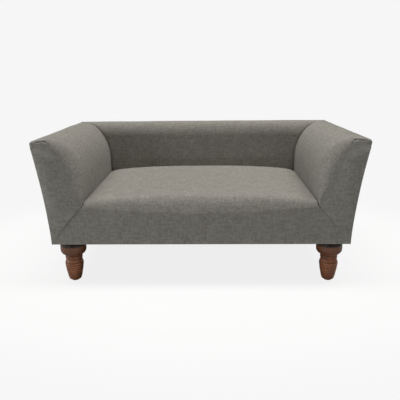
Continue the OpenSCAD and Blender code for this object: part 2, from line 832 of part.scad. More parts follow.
module seat_wadding() {
    e0 = fabric_t + gap;
    e1 = e0 + wadding_t;
    color("white") sheet_solid(
        [for (j = [1:j_panel]) [for (i = [1:i_end - 1]) seat_point(i, j, e0, 1)]],
        [for (j = [1:j_panel]) [for (i = [1:i_end - 1]) seat_point(i, j, e1, 1)]]
    );
}

module seat_foam() {
    e = fabric_t + wadding_t + 2 * gap;
    top = [for (j = [1:j_front]) [for (i = [1:i_end - 1]) seat_point(i, j, e, 0)]];
    color("khaki") sheet_solid(top, [for (row = top) [for (p = row) [p.x, p.y, deck_top]]]);
}

// Covers of the arms and the back

// Rows of an arm's cover: round the outer front edge, across the face, round the front edge, along the arm
face_row = 3;
bend_row = face_row + panel_rows + 1;
bend_steps = 4;
run_row = bend_row + bend_steps;
last_row = run_row + run_rows;
edge_spread = 1.6;
// Steps over which the bulge of the front seam fades out up the arm's face
seam_fade = 6;

// How far row n lies across an arm's face, with its end on the seam at the height of a row of the seat
function face_share(n) = n < bend_row ? seam_share(panel_z(face_row + panel_rows - n, 0)) : 1;

// How far row n is drawn outwards by the seam's bulge at step k
function seam_pull(k, n) = let (
    s = face_share(n),
    straight = (1 - s) * (lean + edge_r) + s * (wall_in - front_r(0)),
    seam = half_w - front_half(hem_z + s * (seam_top - hem_z)) - (1 - s) * gap - s * front_r(0)
) max(0, 1 - k / seam_fade) * (straight - seam);

// Point k of the line where the arm's face meets its outer side
function outer_edge_point(k) = let (
    rise = drop_z - corner_slit - hem_z,
    z = hem_z + (1 - pow(1 - k / k_end, edge_spread)) * rise
) [lean_at(z), z];

function arm_cover_point(k, n, e) = let (
    q = outer_edge_point(k),
    r = front_r(k),
    face = skin_point(k, r, seam_h - seam_fall)
) n < face_row ? let (
    // Depth and inset on the way round the outer edge
    d = n == 0 ? side_wrap : n == 1 ? edge_r : e,
    side_in = n < 2 ? e : edge_r + e
) [half_w - q.x - side_in, front_y + d, q.y]
: n <= bend_row ? let (
    s = face_share(n),
    p = [q.x + edge_r + e, q.y] * (1 - s) + face * s
) [half_w - p.x + seam_pull(k, n), front_y + e, p.y]
: n <= run_row ? let (
    a = 90 * (n - bend_row) / bend_steps,
    d = e + (r - e) * (1 - cos(a)),
    fall = seam_fall * (run_row - n) / bend_steps,
    p = skin_point(k, e + round_in(d - e, r - e), foot_z(d) - fall)
) [half_w - p.x, front_y + d, p.y]
: let (
    t = (n - run_row) / run_rows,
    end = top_d - back_in(k, e) - gap,
    d = r + t * (end - r),
    p = skin_point(k, e, foot_z(d))
) [half_w - p.x, front_y + d, p.y];

module arm_cover(side) {
    color("gray") for_side(side) sheet_solid(
        [for (n = [last_row:-1:0]) [for (k = [0:k_end]) arm_cover_point(k, n, 0)]],
        [for (n = [last_row:-1:0]) [for (k = [0:k_end]) arm_cover_point(k, n, fabric_t)]]
    );
}

module back_cover() {
    color("gray") sheet_solid(back_skin(k_end, 0), back_skin(k_end, fabric_t));
}

module outside_arm_cover(side) {
    color("gray") for_side(side) intersection() {
        union() {
            arm_band(0, fabric_t, hem_z, drop_z - gap, front_y + side_wrap + gap);
            arm_band(0, turn_under, hem_z, frame_z, front_y + turn_under + gap);
        }
        arm_side_of_mitre(gap);
    }
}

module back_outside_cover() {
    color("gray") intersection() {
        union() {
            back_band(0, fabric_t, hem_z, drop_z - gap);
            back_band(0, turn_under, hem_z, frame_z);
        }
        back_side_of_mitre(gap);
    }
}

module dust_cover() {
    edge = lean + dust_in;
    color("black") difference() {
        translate([edge - half_w, front_y + dust_in, leg_h])
            cube([top_w - 2 * edge, top_d - edge - dust_in, dust_t]);
        staple_slots();
        bolt_holes();
    }
}

// Legs and their fittings

// Half the angle that the rounded edges of collar and ring span
bead = 60;

// A point of a curve from four points
function bezier(p, t) = pow(1 - t, 3) * p[0] + 3 * pow(1 - t, 2) * t * p[1]
    + 3 * (1 - t) * t * t * p[2] + pow(t, 3) * p[3];

curve_steps = 12;
// How far the collar's rounded edge comes in, as a share of its height
edge_share = 0.17;
// Where the pulls of the body's curve lie: [share of its largest radius, share of its height]
body_pull_shares = [[1.24, 0.84], [1, 0.28]];
// Height over which the body's upper end comes out of the groove, as a share of the groove's depth
groove_rise_share = 0.6;

// Outline of the turned leg, from its top down: [radius, height]
function leg_outline() = let (
    collar_r = collar_d / 2,
    ring_r = ring_d / 2,
    groove_r = groove_d / 2,
    body_r = body_d / 2,
    collar_foot = leg_h - collar_h,
    edge_in = collar_edge_h * edge_share,
    neck_r = (ring_r + groove_r) / 2,
    ring_mid = collar_foot - ring_h / 2,
    body_top = collar_foot - ring_h - (ring_r - groove_r) * groove_rise_share
) concat(
    [for (a = [bead:-bead / 4:-bead]) [collar_r - edge_in * (1 - cos(a)) / (1 - cos(bead)),
        leg_h - collar_edge_h / 2 * (1 - sin(a) / sin(bead))]],
    [for (a = [bead:-bead / 3:-bead]) [ring_r - (ring_r - neck_r) * (1 - cos(a)) / (1 - cos(bead)),
        ring_mid + ring_h / 2 * sin(a) / sin(bead)]],
    [for (n = [0:curve_steps]) bezier([
        [groove_r, body_top],
        [body_r * body_pull_shares[0].x, body_top * body_pull_shares[0].y],
        [body_r * body_pull_shares[1].x, body_top * body_pull_shares[1].y],
        [foot_d / 2, glide_t]], n / curve_steps)]
);

module leg(side, y) {
    color("sienna") difference() {
        translate([side * leg_x, y, 0]) rotate_extrude($fn = round_fn)
            polygon(concat([[0, leg_h]], leg_outline(), [[0, glide_t]]));
        bolt_holes();
        glide_set(hole_gap);
    }
}

module hanger_bolts() {
    point_h = bolt_d;
    bevel = bolt_r / 4;
    color("silver") at_legs() rotate_extrude($fn = round_fn)
        polygon([[0, leg_h - bolt_down], [bevel, leg_h - bolt_down], [bolt_r, leg_h - bolt_down + point_h],
            [bolt_r, leg_h + bolt_up - bevel], [bolt_r - bevel, leg_h + bolt_up], [0, leg_h + bolt_up]]);
}

tee_r = bolt_r + tee_wall;

module tee_nuts() {
    color("silver") difference() {
        at_legs() translate([0, 0, block_top]) {
            cylinder(d = tee_flange_d, h = tee_flange_t, $fn = round_fn);
            translate([0, 0, tee_flange_t - tee_h]) cylinder(r = tee_r, h = tee_h, $fn = round_fn);
        }
        bolt_holes();
    }
}

module tee_nut_holes() {
    at_legs() translate([0, 0, block_top + tee_flange_t - tee_h])
        cylinder(r = tee_r + hole_gap, h = tee_h + over, $fn = round_fn);
}

module glide_set(play = 0) {
    at_legs() {
        if (play == 0)
            cylinder(d = glide_d, h = glide_t, $fn = round_fn);
        translate([0, 0, glide_t - play]) cylinder(r = nail_r + play, h = nail_l + play, $fn = round_fn);
    }
}

front_rail();
back_rail();
side_rail(-1);  // left_side_rail
side_rail(1);  // right_side_rail
cross_rail();
seat_deck();
leg_block(-1, false);  // leg_block_front_left
leg_block(1, false);  // leg_block_front_right
leg_block(-1, true);  // leg_block_rear_left
leg_block(1, true);  // leg_block_rear_right
arm_front_board(-1);  // left_arm_front_board
arm_front_board(1);  // right_arm_front_board
rear_post(-1);  // left_rear_post
rear_post(1);  // right_rear_post
arm_top_rail(-1);  // left_arm_top_rail
arm_top_rail(1);  // right_arm_top_rail
arm_tack_rail(-1);  // left_arm_tack_rail
arm_tack_rail(1);  // right_arm_tack_rail
back_top_rail();
back_tack_rail();
back_middle_post();
arm_inner_panel(-1);  // left_arm_inner_panel
arm_inner_panel(1);  // right_arm_inner_panel
back_inner_panel();
arm_outer_panel(-1);  // left_arm_outer_panel
arm_outer_panel(1);  // right_arm_outer_panel
back_outer_panel();
arm_foam(-1);  // left_arm_foam
arm_foam(1);  // right_arm_foam
back_foam();
seat_foam();
arm_front_wadding(-1);  // left_arm_front_wadding
arm_front_wadding(1);  // right_arm_front_wadding
seat_wadding();
arm_cover(-1);  // left_arm_cover
arm_cover(1);  // right_arm_cover
back_cover();
seat_cover();
outside_arm_cover(-1);  // left_outside_cover
outside_arm_cover(1);  // right_outside_cover
back_outside_cover();
dust_cover();
color("silver") staple_set();  // staples
color("silver") deck_screw_set();  // deck_screws
color("silver") block_screw_set();  // block_screws
color("silver") frame_screw_set();  // frame_screws
leg(-1, leg_front_y);  // leg_front_left
leg(1, leg_front_y);  // leg_front_right
leg(-1, leg_rear_y);  // leg_rear_left
leg(1, leg_rear_y);  // leg_rear_right
hanger_bolts();
tee_nuts();
color("dimgray") glide_set();  // glides
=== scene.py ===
"""Small upholstered sofa for a dog: covers, padding, turned legs and finishes, dressed over its frame."""

import math

import bmesh
import bpy
from bpy.props import FloatProperty, FloatVectorProperty, PointerProperty
from mathutils import Matrix, Vector, noise


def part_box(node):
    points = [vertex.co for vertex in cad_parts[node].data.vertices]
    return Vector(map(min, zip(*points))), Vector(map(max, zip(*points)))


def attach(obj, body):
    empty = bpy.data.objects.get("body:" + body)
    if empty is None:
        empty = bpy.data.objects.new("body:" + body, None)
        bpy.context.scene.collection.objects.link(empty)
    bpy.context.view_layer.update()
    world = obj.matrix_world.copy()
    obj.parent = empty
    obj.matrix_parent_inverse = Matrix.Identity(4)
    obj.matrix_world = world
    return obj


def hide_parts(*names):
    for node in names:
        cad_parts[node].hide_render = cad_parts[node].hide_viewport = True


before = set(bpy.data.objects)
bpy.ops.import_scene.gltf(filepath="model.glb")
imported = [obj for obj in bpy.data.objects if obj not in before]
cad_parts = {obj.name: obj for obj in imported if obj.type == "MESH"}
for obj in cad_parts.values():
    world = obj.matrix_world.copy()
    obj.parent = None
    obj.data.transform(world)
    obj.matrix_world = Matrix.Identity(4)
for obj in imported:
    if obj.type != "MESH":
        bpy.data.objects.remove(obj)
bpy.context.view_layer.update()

bl_info = {
    "name": "Dog Sofa",
    "version": (1, 0, 0),
    "blender": (4, 5, 0),
    "location": "3D View > Sidebar > Dog Sofa",
    "description": "Upholstery, turned legs and finishes of a small sofa for a dog",
    "category": "Add Mesh",
}

SIDES = {"left": -1, "right": 1}
LEG_PLACES = ("front_left", "front_right", "rear_left", "rear_right")


def size(name, about, value, low=0.0, high=2.0):
    """A length in metres that a user may change."""
    return FloatProperty(name=name, description=about, default=value, min=low, max=high, precision=4,
                         subtype="DISTANCE", unit="LENGTH")


def share(name, about, value, low=0.0, high=4.0):
    return FloatProperty(name=name, description=about, default=value, min=low, max=high)


def colour(name, about, value):
    return FloatVectorProperty(name=name, description=about, default=value, size=3, min=0.0, max=1.0,
                               subtype="COLOR")


class SofaBody(bpy.types.PropertyGroup):
    """Sizes of the arms, the back and their covers."""
    width: size("Width", "Width over the outer top edges of the arms", 0.964)
    depth: size("Depth", "Depth from the front face to the top of the back", 0.6)
    height: size("Height", "Height of the arms and the back", 0.434)
    lean: size("Lean", "How far the arms and the back lean out", 0.045)
    lean_bow: share("Lean bow", "How much of the lean comes near the top", 1.5)
    wall_in: size("Wall", "How far the inner faces stand in from the outer top edge", 0.142)
    crest_in: size("Crest", "How far the crest of the rolled top stands in", 0.048)
    roll_height: size("Roll height", "Height of the rolled part of the inner faces", 0.13)
    top_fall: size("Top fall", "Fall of the rolled top from its crest to the outer corner", 0.005)
    corner: size("Corner", "Radius of the outer top corner", 0.011)
    back_turn_depth: size("Back edge depth", "Depth of the back's rounded top edge", 0.032)
    back_turn_height: size("Back edge height", "Height of the back's rounded top edge", 0.052)
    back_crown: size("Back crown", "Rise of the back's padded top in its middle", 0.0005)
    back_slope: size("Back slope", "How far the back's face leans back below its edge", 0.005)
    front_round: size("Front round", "Largest radius of an arm's front edge", 0.046)
    face_puff: size("Face puff", "How far the padded front faces of the arms bulge", 0.008)
    cloth: size("Cloth", "Thickness of the cover cloth", 0.0016)
    top_wrap: size("Top wrap", "Height of the outer side that the top's cover takes in", 0.008)
    side_wrap: size("Side wrap", "Width of cloth wrapped round from the arm's front", 0.01)
    edge: size("Outer edge", "Radius of the outer front edges", 0.0035)
    hem: size("Hem", "Radius where the covers turn under", 0.0035)
    turn_under: size("Turn under", "Width of cloth turned under the frame", 0.014)


class SofaSeat(bpy.types.PropertyGroup):
    """Sizes of the seat."""
    height: size("Height", "Height of the seat's rear corners", 0.262)
    fall: size("Fall", "Fall of the seat towards its front", 0.01)
    crown: size("Crown", "Rise of the seat's crown", 0.015)
    roll: size("Roll", "Radius of the seat's front edge", 0.036)
    side_roll: share("Side roll", "Radius of the front edge beside the arms, as a share of the whole", 0.55)
    edge: size("Edge", "Radius of the seat's sides and back", 0.009)
    corner: size("Corner", "Radius of the rear corners seen from above", 0.044)
    tuck: size("Tuck", "Depth of cover tucked down beside the arms", 0.03)
    seam_height: size("Seam height", "Height at which the slanting front seam starts", 0.242)
    seam_bow: share("Seam bow", "How much the slanting front seam bulges", 1.15)


class SofaLegs(bpy.types.PropertyGroup):
    """Sizes of the turned legs."""
    height: size("Height", "Height of the legs", 0.123)
    collar: size("Collar", "Diameter of the collar", 0.0766)
    ring: size("Ring", "Diameter of the ring", 0.0504)
    groove: size("Groove", "Diameter of the groove", 0.0464)
    body: size("Body", "Largest diameter of the body", 0.055)
    cut: size("Turned lines", "Depth of the fine turned lines down the body", 0.0006)


class SofaColours(bpy.types.PropertyGroup):
    """Colours of the finishes."""
    cloth: colour("Cloth", "Cover cloth", (0.30, 0.286, 0.256))
    cloth_dark: colour("Cloth shade", "Darker threads of the cover cloth", (0.24, 0.23, 0.206))
    cloth_light: colour("Cloth light", "Lighter threads of the cover cloth", (0.36, 0.344, 0.31))
    stain: colour("Stain", "Stained wood of the legs", (0.43, 0.158, 0.068))
    # Dark stain in the grain and the turned lines, and also the colour of the painted shade on the legs'
    # collars, ring edges and groove
    dark_stain_and_shade: colour("Dark stain", "Stain gathered in the turned lines", (0.022, 0.0085, 0.005))
    pine: colour("Pine", "Planed softwood of the frame", (0.60, 0.42, 0.24))
    pine_dark: colour("Pine grain", "Late wood of the softwood", (0.42, 0.26, 0.13))
    board: colour("Hardboard", "Hardboard panels", (0.20, 0.115, 0.06))
    foam: colour("Foam", "Foam", (0.78, 0.70, 0.45))
    wadding: colour("Wadding", "Polyester wadding", (0.86, 0.86, 0.84))
    dust: colour("Dust cover", "Non-woven dust cover", (0.018, 0.018, 0.02))
    zinc: colour("Zinc", "Plated steel", (0.62, 0.63, 0.62))
    glide: colour("Glide", "Plastic glides", (0.02, 0.02, 0.02))


class SofaStage(bpy.types.PropertyGroup):
    """Lights and the pale stage."""
    paper: colour("Paper", "Colour of the floor and the backdrop", (0.922, 0.922, 0.922))
    top_light: share("Top light", "Power of the light overhead", 380.0, 0.0, 2000.0)
    side_light: share("Side light", "Power of the light high on the right", 4.0, 0.0, 2000.0)
    low_light: share("Low light", "Power of the low light on the left", 14.5, 0.0, 2000.0)
    front_light: share("Front light", "Power of the light from the left front", 8.0, 0.0, 2000.0)
    fill_light: share("Fill light", "Power of the light from the right front", 4.0, 0.0, 2000.0)
    room_light: share("Room light", "Strength of the light from all round", 0.02, 0.0, 5.0)
    shade_share: share("Shadow", "How much of the sofa's shadow the floor shows", 0.16, 0.0, 1.0)
    floor_lift: share("Floor lift", "Paleness of the floor where no shadow falls", 1.08, 0.0, 2.0)
    floor_bounce: share("Floor bounce", "How pale the floor is for light that it throws up", 0.62, 0.0, 1.0)


class DogSofa(bpy.types.PropertyGroup):
    """Everything about the sofa that a user would change."""
    body: PointerProperty(type=SofaBody)
    seat: PointerProperty(type=SofaSeat)
    legs: PointerProperty(type=SofaLegs)
    colours: PointerProperty(type=SofaColours)
    stage: PointerProperty(type=SofaStage)


def sofa():
    return bpy.context.scene.dog_sofa


# Shader values and nodes

class Value:
    """A shader socket that can be used in sums."""

    def __init__(self, finish, socket):
        self.finish = finish
        self.socket = socket

    def sum(self, operation, *others):
        sockets = dict(enumerate((self, *others)))
        return self.finish.add("ShaderNodeMath", {"operation": operation}, sockets)

    def __add__(self, other):
        return self.sum("ADD", other)

    def __mul__(self, other):
        return self.sum("MULTIPLY", other)

    def __rsub__(self, other):
        return (self * -1.0) + other

    def __truediv__(self, other):
        return self.sum("DIVIDE", other)

    def step(self, low, high):
        """0 below low, 1 above high and smooth between them."""
        return self.finish.add("ShaderNodeMapRange", {"interpolation_type": "SMOOTHSTEP"},
                               {"Value": self, "From Min": low, "From Max": high})


class Finish:
    """A material that is built node by node."""

    def __init__(self, name, **constants):
        self.material = bpy.data.materials.new(f"sofa_{name}")
        self.material.use_nodes = True
        self.tree = self.material.node_tree
        self.tree.nodes.clear()
        self.output = self.tree.nodes.new("ShaderNodeOutputMaterial")
        self.surface = self.tree.nodes.new("ShaderNodeBsdfPrincipled")
        for socket, value in constants.items():
            self.surface.inputs[socket.replace("_", " ").title().replace("Ior", "IOR")].default_value = value
        self.tree.links.new(self.surface.outputs[0], self.output.inputs["Surface"])

    def add(self, kind, settings, sockets, out=0):
        """A node of a kind, its settings first and then the values or links of its sockets."""
        node = self.tree.nodes.new(kind)
        for key, value in settings.items():
            setattr(node, key, value)
        for key, value in sockets.items():
            self.set(node.inputs[key], value)
        return Value(self, node.outputs[out])

    def set(self, socket, value):
        if isinstance(value, Value):
            self.tree.links.new(value.socket, socket)
        elif socket.type == "RGBA":
            socket.default_value = (*value, 1.0)
        else:
            socket.default_value = value

    def feed(self, socket, value):
        self.set(self.surface.inputs[socket], value)

    def spot(self, scale=(1, 1, 1), by="Object"):
        """Coordinates of a point, in metres, scaled."""
        place = self.add("ShaderNodeTexCoord", {}, {}, by)
        return self.add("ShaderNodeMapping", {}, {"Vector": place, "Scale": scale})

    def noise(self, at, scale, detail=2.0, roughness=0.5, distortion=0.0):
        return self.add("ShaderNodeTexNoise", {}, {"Vector": at, "Scale": scale, "Detail": detail,
                                                   "Roughness": roughness, "Distortion": distortion})

    def mix(self, factor, first, second):
        """A colour between two others, which are the node's sockets 6 and 7, from its output 2."""
        return self.add("ShaderNodeMix", {"data_type": "RGBA"}, {0: factor, 6: first, 7: second}, 2)

    def bump(self, height, depth, strength):
        return self.add("ShaderNodeBump", {}, {"Height": height, "Distance": depth, "Strength": strength})


def shaded(tint, by):
    """A colour made darker or lighter."""
    return tuple(min(1.0, v * by) for v in tint)


def grained_finish(name, grain, steps, tints, rough, bump, **constants):
    """A finish of two tints by one fine grain, which also makes it rough and uneven.

    The grain is scale, detail, roughness and distortion. Rough is the grain's share in the roughness and the
    base of it, or None. Bump is depth and strength."""
    f = Finish(name, **constants)
    fine = f.noise(f.spot(), *grain)
    f.feed("Base Color", f.mix(fine.step(*steps), *tints))
    if rough:
        f.feed("Roughness", fine * rough[0] + rough[1])
    f.feed("Normal", f.bump(fine, *bump))
    return f.material


# Distance between threads of the cloth, and thickness of a ply
THREAD_PITCH = 0.0015
PLY = 0.0018


def cloth_finish():
    """Woven upholstery cloth: two sets of uneven threads, slubs, a heathered mottle and a soft bloom."""
    c = sofa().colours
    f = Finish("woven_cloth", roughness=0.92, sheen_weight=0.12, sheen_roughness=0.5, specular_ior_level=0.2)
    warp = f.noise(f.spot((900, 70, 1), by="UV"), 1.0, 2.0, 0.6)
    weft = f.noise(f.spot((70, 900, 1), by="UV"), 1.0, 2.0, 0.6)
    across, along = (f.add("ShaderNodeSeparateXYZ", {}, {"Vector": f.spot(by="UV")}, n) for n in (0, 1))
    pitch = 2 * math.pi / THREAD_PITCH
    wave_a = (across * pitch).sum("SINE")
    wave_b = (along * pitch).sum("SINE")
    over = (wave_a * wave_b).step(-0.9, 0.9)
    thread = warp * over + weft * (1.0 - over)
    slub = f.noise(f.spot((170, 40, 1), by="UV"), 1.0, 1.0, 0.5)
    cross_slub = f.noise(f.spot((40, 170, 1), by="UV"), 1.0, 1.0, 0.5)
    mottle = f.noise(f.spot((115, 115, 1), by="UV"), 1.0, 1.5, 0.6)
    cloudy = f.noise(f.spot(), 26.0, 3.0, 0.6)
    fuzz = f.noise(f.spot(), 2600.0, 1.0, 0.5)
    light = slub * 0.7 + cross_slub * 0.7 + mottle * 1.2 + cloudy * 0.6 + thread * 0.3
    tone = f.mix((light / 3.5).step(0.36, 0.64), c.cloth_dark, c.cloth_light)
    f.feed("Base Color", f.mix(fuzz.step(0.4, 0.7) * 0.1, tone, c.cloth))
    height = wave_a * wave_b * 0.35 + thread + (slub + cross_slub) * 0.7 + mottle * 0.5 + fuzz * 0.35
    f.feed("Normal", f.bump(height, 0.0005, 0.42))
    return f.material


def dust_finish():
    c = sofa().colours
    return grained_finish("non_woven_cloth", (900.0, 4.0, 0.7, 1.5), (0.35, 0.7),
                          (c.dust, shaded(c.dust, 2.6)), None, (0.0004, 0.4),
                          roughness=0.95, sheen_weight=0.1)


def leg_finish():
    """Red-brown stained wood: upright grain, fine lines with darker stain in them, painted shade on the
    collar, the ring's edges and the groove, and satin varnish.
    """
    c = sofa().colours
    f = Finish("stained_wood", coat_weight=0.2, coat_roughness=0.3, specular_ior_level=0.4)
    grain = f.noise(f.spot((260, 260, 16)), 1.0, 4.0, 0.6, 0.3)
    flame = f.noise(f.spot((60, 60, 9)), 1.0, 3.0, 0.55, 0.6)
    lines = f.noise(f.spot((7, 7, 330)), 1.0, 3.0, 0.6)
    hollow = f.add("ShaderNodeVertexColor", {"layer_name": "hollow"}, {})
    tone = f.mix(flame.step(0.3, 0.72), c.stain, shaded(c.stain, 1.5))
    tone = f.mix(grain.step(0.48, 0.72) * 0.35, tone, c.dark_stain_and_shade)
    tone = f.mix(lines.step(0.42, 0.62) * 0.3, tone, c.dark_stain_and_shade)
    # Painted shade from the leg's layer on the collar, the ring's edges and the groove; the layer also holds
    # stain in the turned lines and darkening towards the foot
    tone = f.mix(hollow, tone, c.dark_stain_and_shade)
    f.feed("Base Color", tone)
    f.feed("Roughness", grain * 0.22 + 0.3)
    f.feed("Normal", f.bump(lines * 0.6 + grain * 0.4, 0.0004, 0.35))
    return f.material


def timber_finish(name, along):
    """Planed softwood with its grain along one axis."""
    c = sofa().colours
    f = Finish(name)
    stretch = [90.0, 90.0, 90.0]
    stretch[along] = 4.0
    rings = f.noise(f.spot(tuple(stretch)), 1.0, 3.0, 0.5, 0.8)
    fine = f.noise(f.spot(tuple(s * 9 for s in stretch)), 1.0, 2.0, 0.6)
    spread = f.spot(tuple(s / 12 for s in stretch))
    knots = f.add("ShaderNodeTexVoronoi", {}, {"Vector": spread, "Scale": 1.0})
    late = (rings * 5.0).sum("FRACT").step(0.45, 0.95)
    tone = f.mix(late * 0.7, c.pine, c.pine_dark)
    tone = f.mix(fine.step(0.5, 0.8) * 0.3, tone, c.pine_dark)
    tone = f.mix((1.0 - knots.step(0.03, 0.09)) * 0.7, tone, shaded(c.pine_dark, 0.4))
    f.feed("Base Color", tone)
    f.feed("Roughness", fine * 0.2 + 0.52)
    f.feed("Normal", f.bump(fine + late * 0.4, 0.0005, 0.3))
    return f.material


def plywood_finish():
    c = sofa().colours
    f = Finish("plywood", roughness=0.6)
    face = f.noise(f.spot((5, 60, 60)), 1.0, 3.0, 0.5, 1.2)
    depth = f.add("ShaderNodeSeparateXYZ", {}, {"Vector": f.spot()}, 2)
    plies = (depth * (math.pi / PLY)).sum("SINE").step(-0.2, 0.2)
    normal = f.add("ShaderNodeNewGeometry", {}, {}, "True Normal")
    upright = 1.0 - f.add("ShaderNodeSeparateXYZ", {}, {"Vector": normal}, 2).sum("ABSOLUTE").step(0.4, 0.8)
    tone = f.mix((face * 4.0).sum("FRACT").step(0.3, 0.9) * 0.5, c.pine, c.pine_dark)
    tone = f.mix(plies * upright, tone, shaded(c.pine_dark, 0.55))
    f.feed("Base Color", tone)
    f.feed("Normal", f.bump(face, 0.0005, 0.25))
    return f.material


def board_finish():
    c = sofa().colours
    return grained_finish("hardboard", (480.0, 5.0, 0.75, 0.6), (0.3, 0.75), (c.board, shaded(c.board, 1.7)),
                          (0.3, 0.4), (0.0003, 0.35))


def foam_finish():
    c = sofa().colours
    f = Finish("foam", roughness=0.95)
    cells = f.add("ShaderNodeTexVoronoi", {}, {"Vector": f.spot(), "Scale": 700.0})
    cloud = f.noise(f.spot(), 22.0, 3.0)
    tone = f.mix(cells.step(0.05, 0.5), shaded(c.foam, 0.72), c.foam)
    f.feed("Base Color", f.mix(cloud.step(0.35, 0.7) * 0.25, tone, shaded(c.foam, 0.85)))
    f.feed("Normal", f.bump(cells, 0.0012, 0.6))
    return f.material


def wadding_finish():
    c = sofa().colours
    return grained_finish("wadding", (260.0, 5.0, 0.75, 2.5), (0.3, 0.7),
                          (shaded(c.wadding, 0.86), c.wadding), None, (0.0025, 0.5),
                          roughness=1.0, sheen_weight=0.3)


def zinc_finish():
    c = sofa().colours
    return grained_finish("zinc_plate", (320.0, 3.0, 0.6), (0.35, 0.7), (shaded(c.zinc, 0.85), c.zinc),
                          (0.3, 0.18), (0.0002, 0.2), metallic=1.0)


def glide_finish():
    c = sofa().colours
    return grained_finish("glide_plastic", (1500.0, 3.0, 0.6), (0.3, 0.8), (c.glide, shaded(c.glide, 2.2)),
                          (0.25, 0.38), (0.0002, 0.3))


def finish(name, maker, *details):
    """The finish of that name, made when it is first asked for."""
    return bpy.data.materials.get(f"sofa_{name}") or maker(*details)


# Shape of the padded section

def clamp(value, low=0.0, high=1.0):
    return max(low, min(high, value))


def blend(a, b, t):
    return a + (b - a) * t


def ease(t):
    t = clamp(t)
    return t * t * (3 - 2 * t)


def curve_through(table, t):
    """A smooth curve through a table of [place, value]."""
    n = next((n for n in range(len(table) - 2) if t <= table[n + 1][0]), len(table) - 2)
    (x0, y0), (x1, y1) = table[n], table[n + 1]
    before, after = table[max(n - 1, 0)], table[min(n + 2, len(table) - 1)]
    s = clamp((t - x0) / (x1 - x0))
    slope0 = (y1 - before[1]) / (x1 - before[0]) * (x1 - x0)
    slope1 = (after[1] - y0) / (after[0] - x0) * (x1 - x0)
    return ((1 + 2 * s) * (1 - s) ** 2 * y0 + s * (1 - s) ** 2 * slope0
            + s * s * (3 - 2 * s) * y1 + s * s * (s - 1) * slope1)


# Gap between covers, and the seat frame's height and its deck's thickness
GAP = 0.0003
RAIL_HEIGHT = 0.07
DECK = 0.009
# Radius of an arm's front edge up the section, as [share of the way, share of the largest radius]
FRONT_ROUND_SHARES = [(0, 0.05), (0.06, 0.12), (0.12, 0.42), (0.22, 0.82), (0.36, 1), (0.5, 0.8), (0.65, 0.3),
                      (0.8, 0.16), (1, 0.16)]


class Section:
    """The padded section of the arms and the back, up the inner wall, over the roll and down outside."""
    WALL, ROLL, TOP, CORNER, DROP = 3.0, 11.0, 13.0, 16.0, 17.0
    CORNER_TURN = math.radians(100)
    MARKS = 10

    def __init__(self):
        s = sofa()
        self.b = b = s.body
        self.leg = s.legs.height
        self.half = b.width / 2
        self.front = -b.depth / 2
        self.back = b.depth / 2
        self.roll_z = b.height - b.roll_height
        self.corner_z = b.height - b.top_fall - b.corner
        self.corner_in = self.lean_at(self.corner_z) + b.corner
        self.drop_z = self.corner_z - b.top_wrap
        self.hem_z = self.leg + 0.0006
        self.deck_z = self.hem_z + b.cloth + RAIL_HEIGHT + DECK + GAP
        self.seam_z = s.seat.seam_height
        self.seam_fall = 0.004
        marks = [self.at(n / self.MARKS, 0, self.deck_z) for n in range(int(self.DROP * self.MARKS) + 1)]
        self.lengths = [self.deck_z]
        for p, q in zip(marks, marks[1:]):
            self.lengths.append(self.lengths[-1] + math.dist(p, q))

    def lean_at(self, z):
        s = clamp((z - self.leg) / (self.b.height - self.leg))
        return self.b.lean * (1 - s ** self.b.lean_bow)

    def at(self, k, e, low):
        """Point k of the padded surface, a depth e beneath it: in from the outer top edge, and height."""
        b = self.b
        if k <= self.WALL:
            return b.wall_in - e, blend(low, self.roll_z, k / self.WALL)
        if k <= self.ROLL:
            a = math.pi / 2 * (k - self.WALL) / (self.ROLL - self.WALL)
            return (b.crest_in + (b.wall_in - b.crest_in - e) * math.cos(a),
                    self.roll_z + (b.roll_height - e) * math.sin(a))
        if k <= self.TOP:
            s = (k - self.ROLL) / (self.TOP - self.ROLL)
            return blend(b.crest_in, self.corner_in, s), b.height - e - b.top_fall * s * s
        if k <= self.CORNER:
            a = self.CORNER_TURN * (k - self.TOP) / (self.CORNER - self.TOP)
            return self.corner_in - (b.corner - e) * math.sin(a), self.corner_z + (b.corner - e) * math.cos(a)
        end = self.at(self.CORNER, e, low)
        s = k - self.CORNER
        return blend(end[0], self.lean_at(self.drop_z) + e, s), blend(end[1], self.drop_z, s)

    def back_in(self, k, e=0.0):
        """How far in the back's own face stands at the height of the arms' point k."""
        b = self.b
        p = self.at(k, e, self.deck_z)
        crest = b.wall_in - b.back_slope - b.back_turn_depth
        turn_z = b.height - b.back_turn_height
        if k > self.TOP:
            return p[0]
        if k > self.ROLL:
            inward = (p[0] - self.corner_in) / (b.crest_in - self.corner_in)
            return self.corner_in + (crest - self.corner_in) * inward
        if p[1] <= turn_z:
            return b.wall_in - e - b.back_slope * max(0.0, p[1] - self.roll_z) / (turn_z - self.roll_z)
        rise = min(1.0, (p[1] - turn_z) / (b.back_turn_height - e))
        return crest + (b.back_turn_depth - e) * math.sqrt(1 - rise * rise)

    def length_at(self, k):
        """Length of cloth up to point k."""
        place = clamp(k * self.MARKS, 0, len(self.lengths) - 1.001)
        n = int(place)
        return blend(self.lengths[n], self.lengths[n + 1], place - n)

    def front_round(self, k):
        return self.b.front_round * curve_through(FRONT_ROUND_SHARES, k / self.DROP)

    def foot_z(self, d):
        """Foot of the arm's cover at a depth behind the front: it dives from the seam to the deck."""
        dive_from, dive = 0.008, 0.026
        return blend(self.seam_z, self.deck_z, clamp((d - dive_from) / dive))


# Making pieces

def mapped_grid(columns, rows, place):
    """A grid whose points place(u, v) moves: it gives a point and the cloth's own coordinates there."""
    bm = bmesh.new()
    bmesh.ops.create_grid(bm, x_segments=columns, y_segments=rows, size=0.5)
    layer = bm.loops.layers.uv.new("cloth")
    weave = {}
    for v in bm.verts:
        point, weave[v] = place(clamp(v.co.x + 0.5), clamp(v.co.y + 0.5))
        v.co = point
    for face in bm.faces:
        for loop in face.loops:
            loop[layer].uv = weave[loop.vert]
    return bm


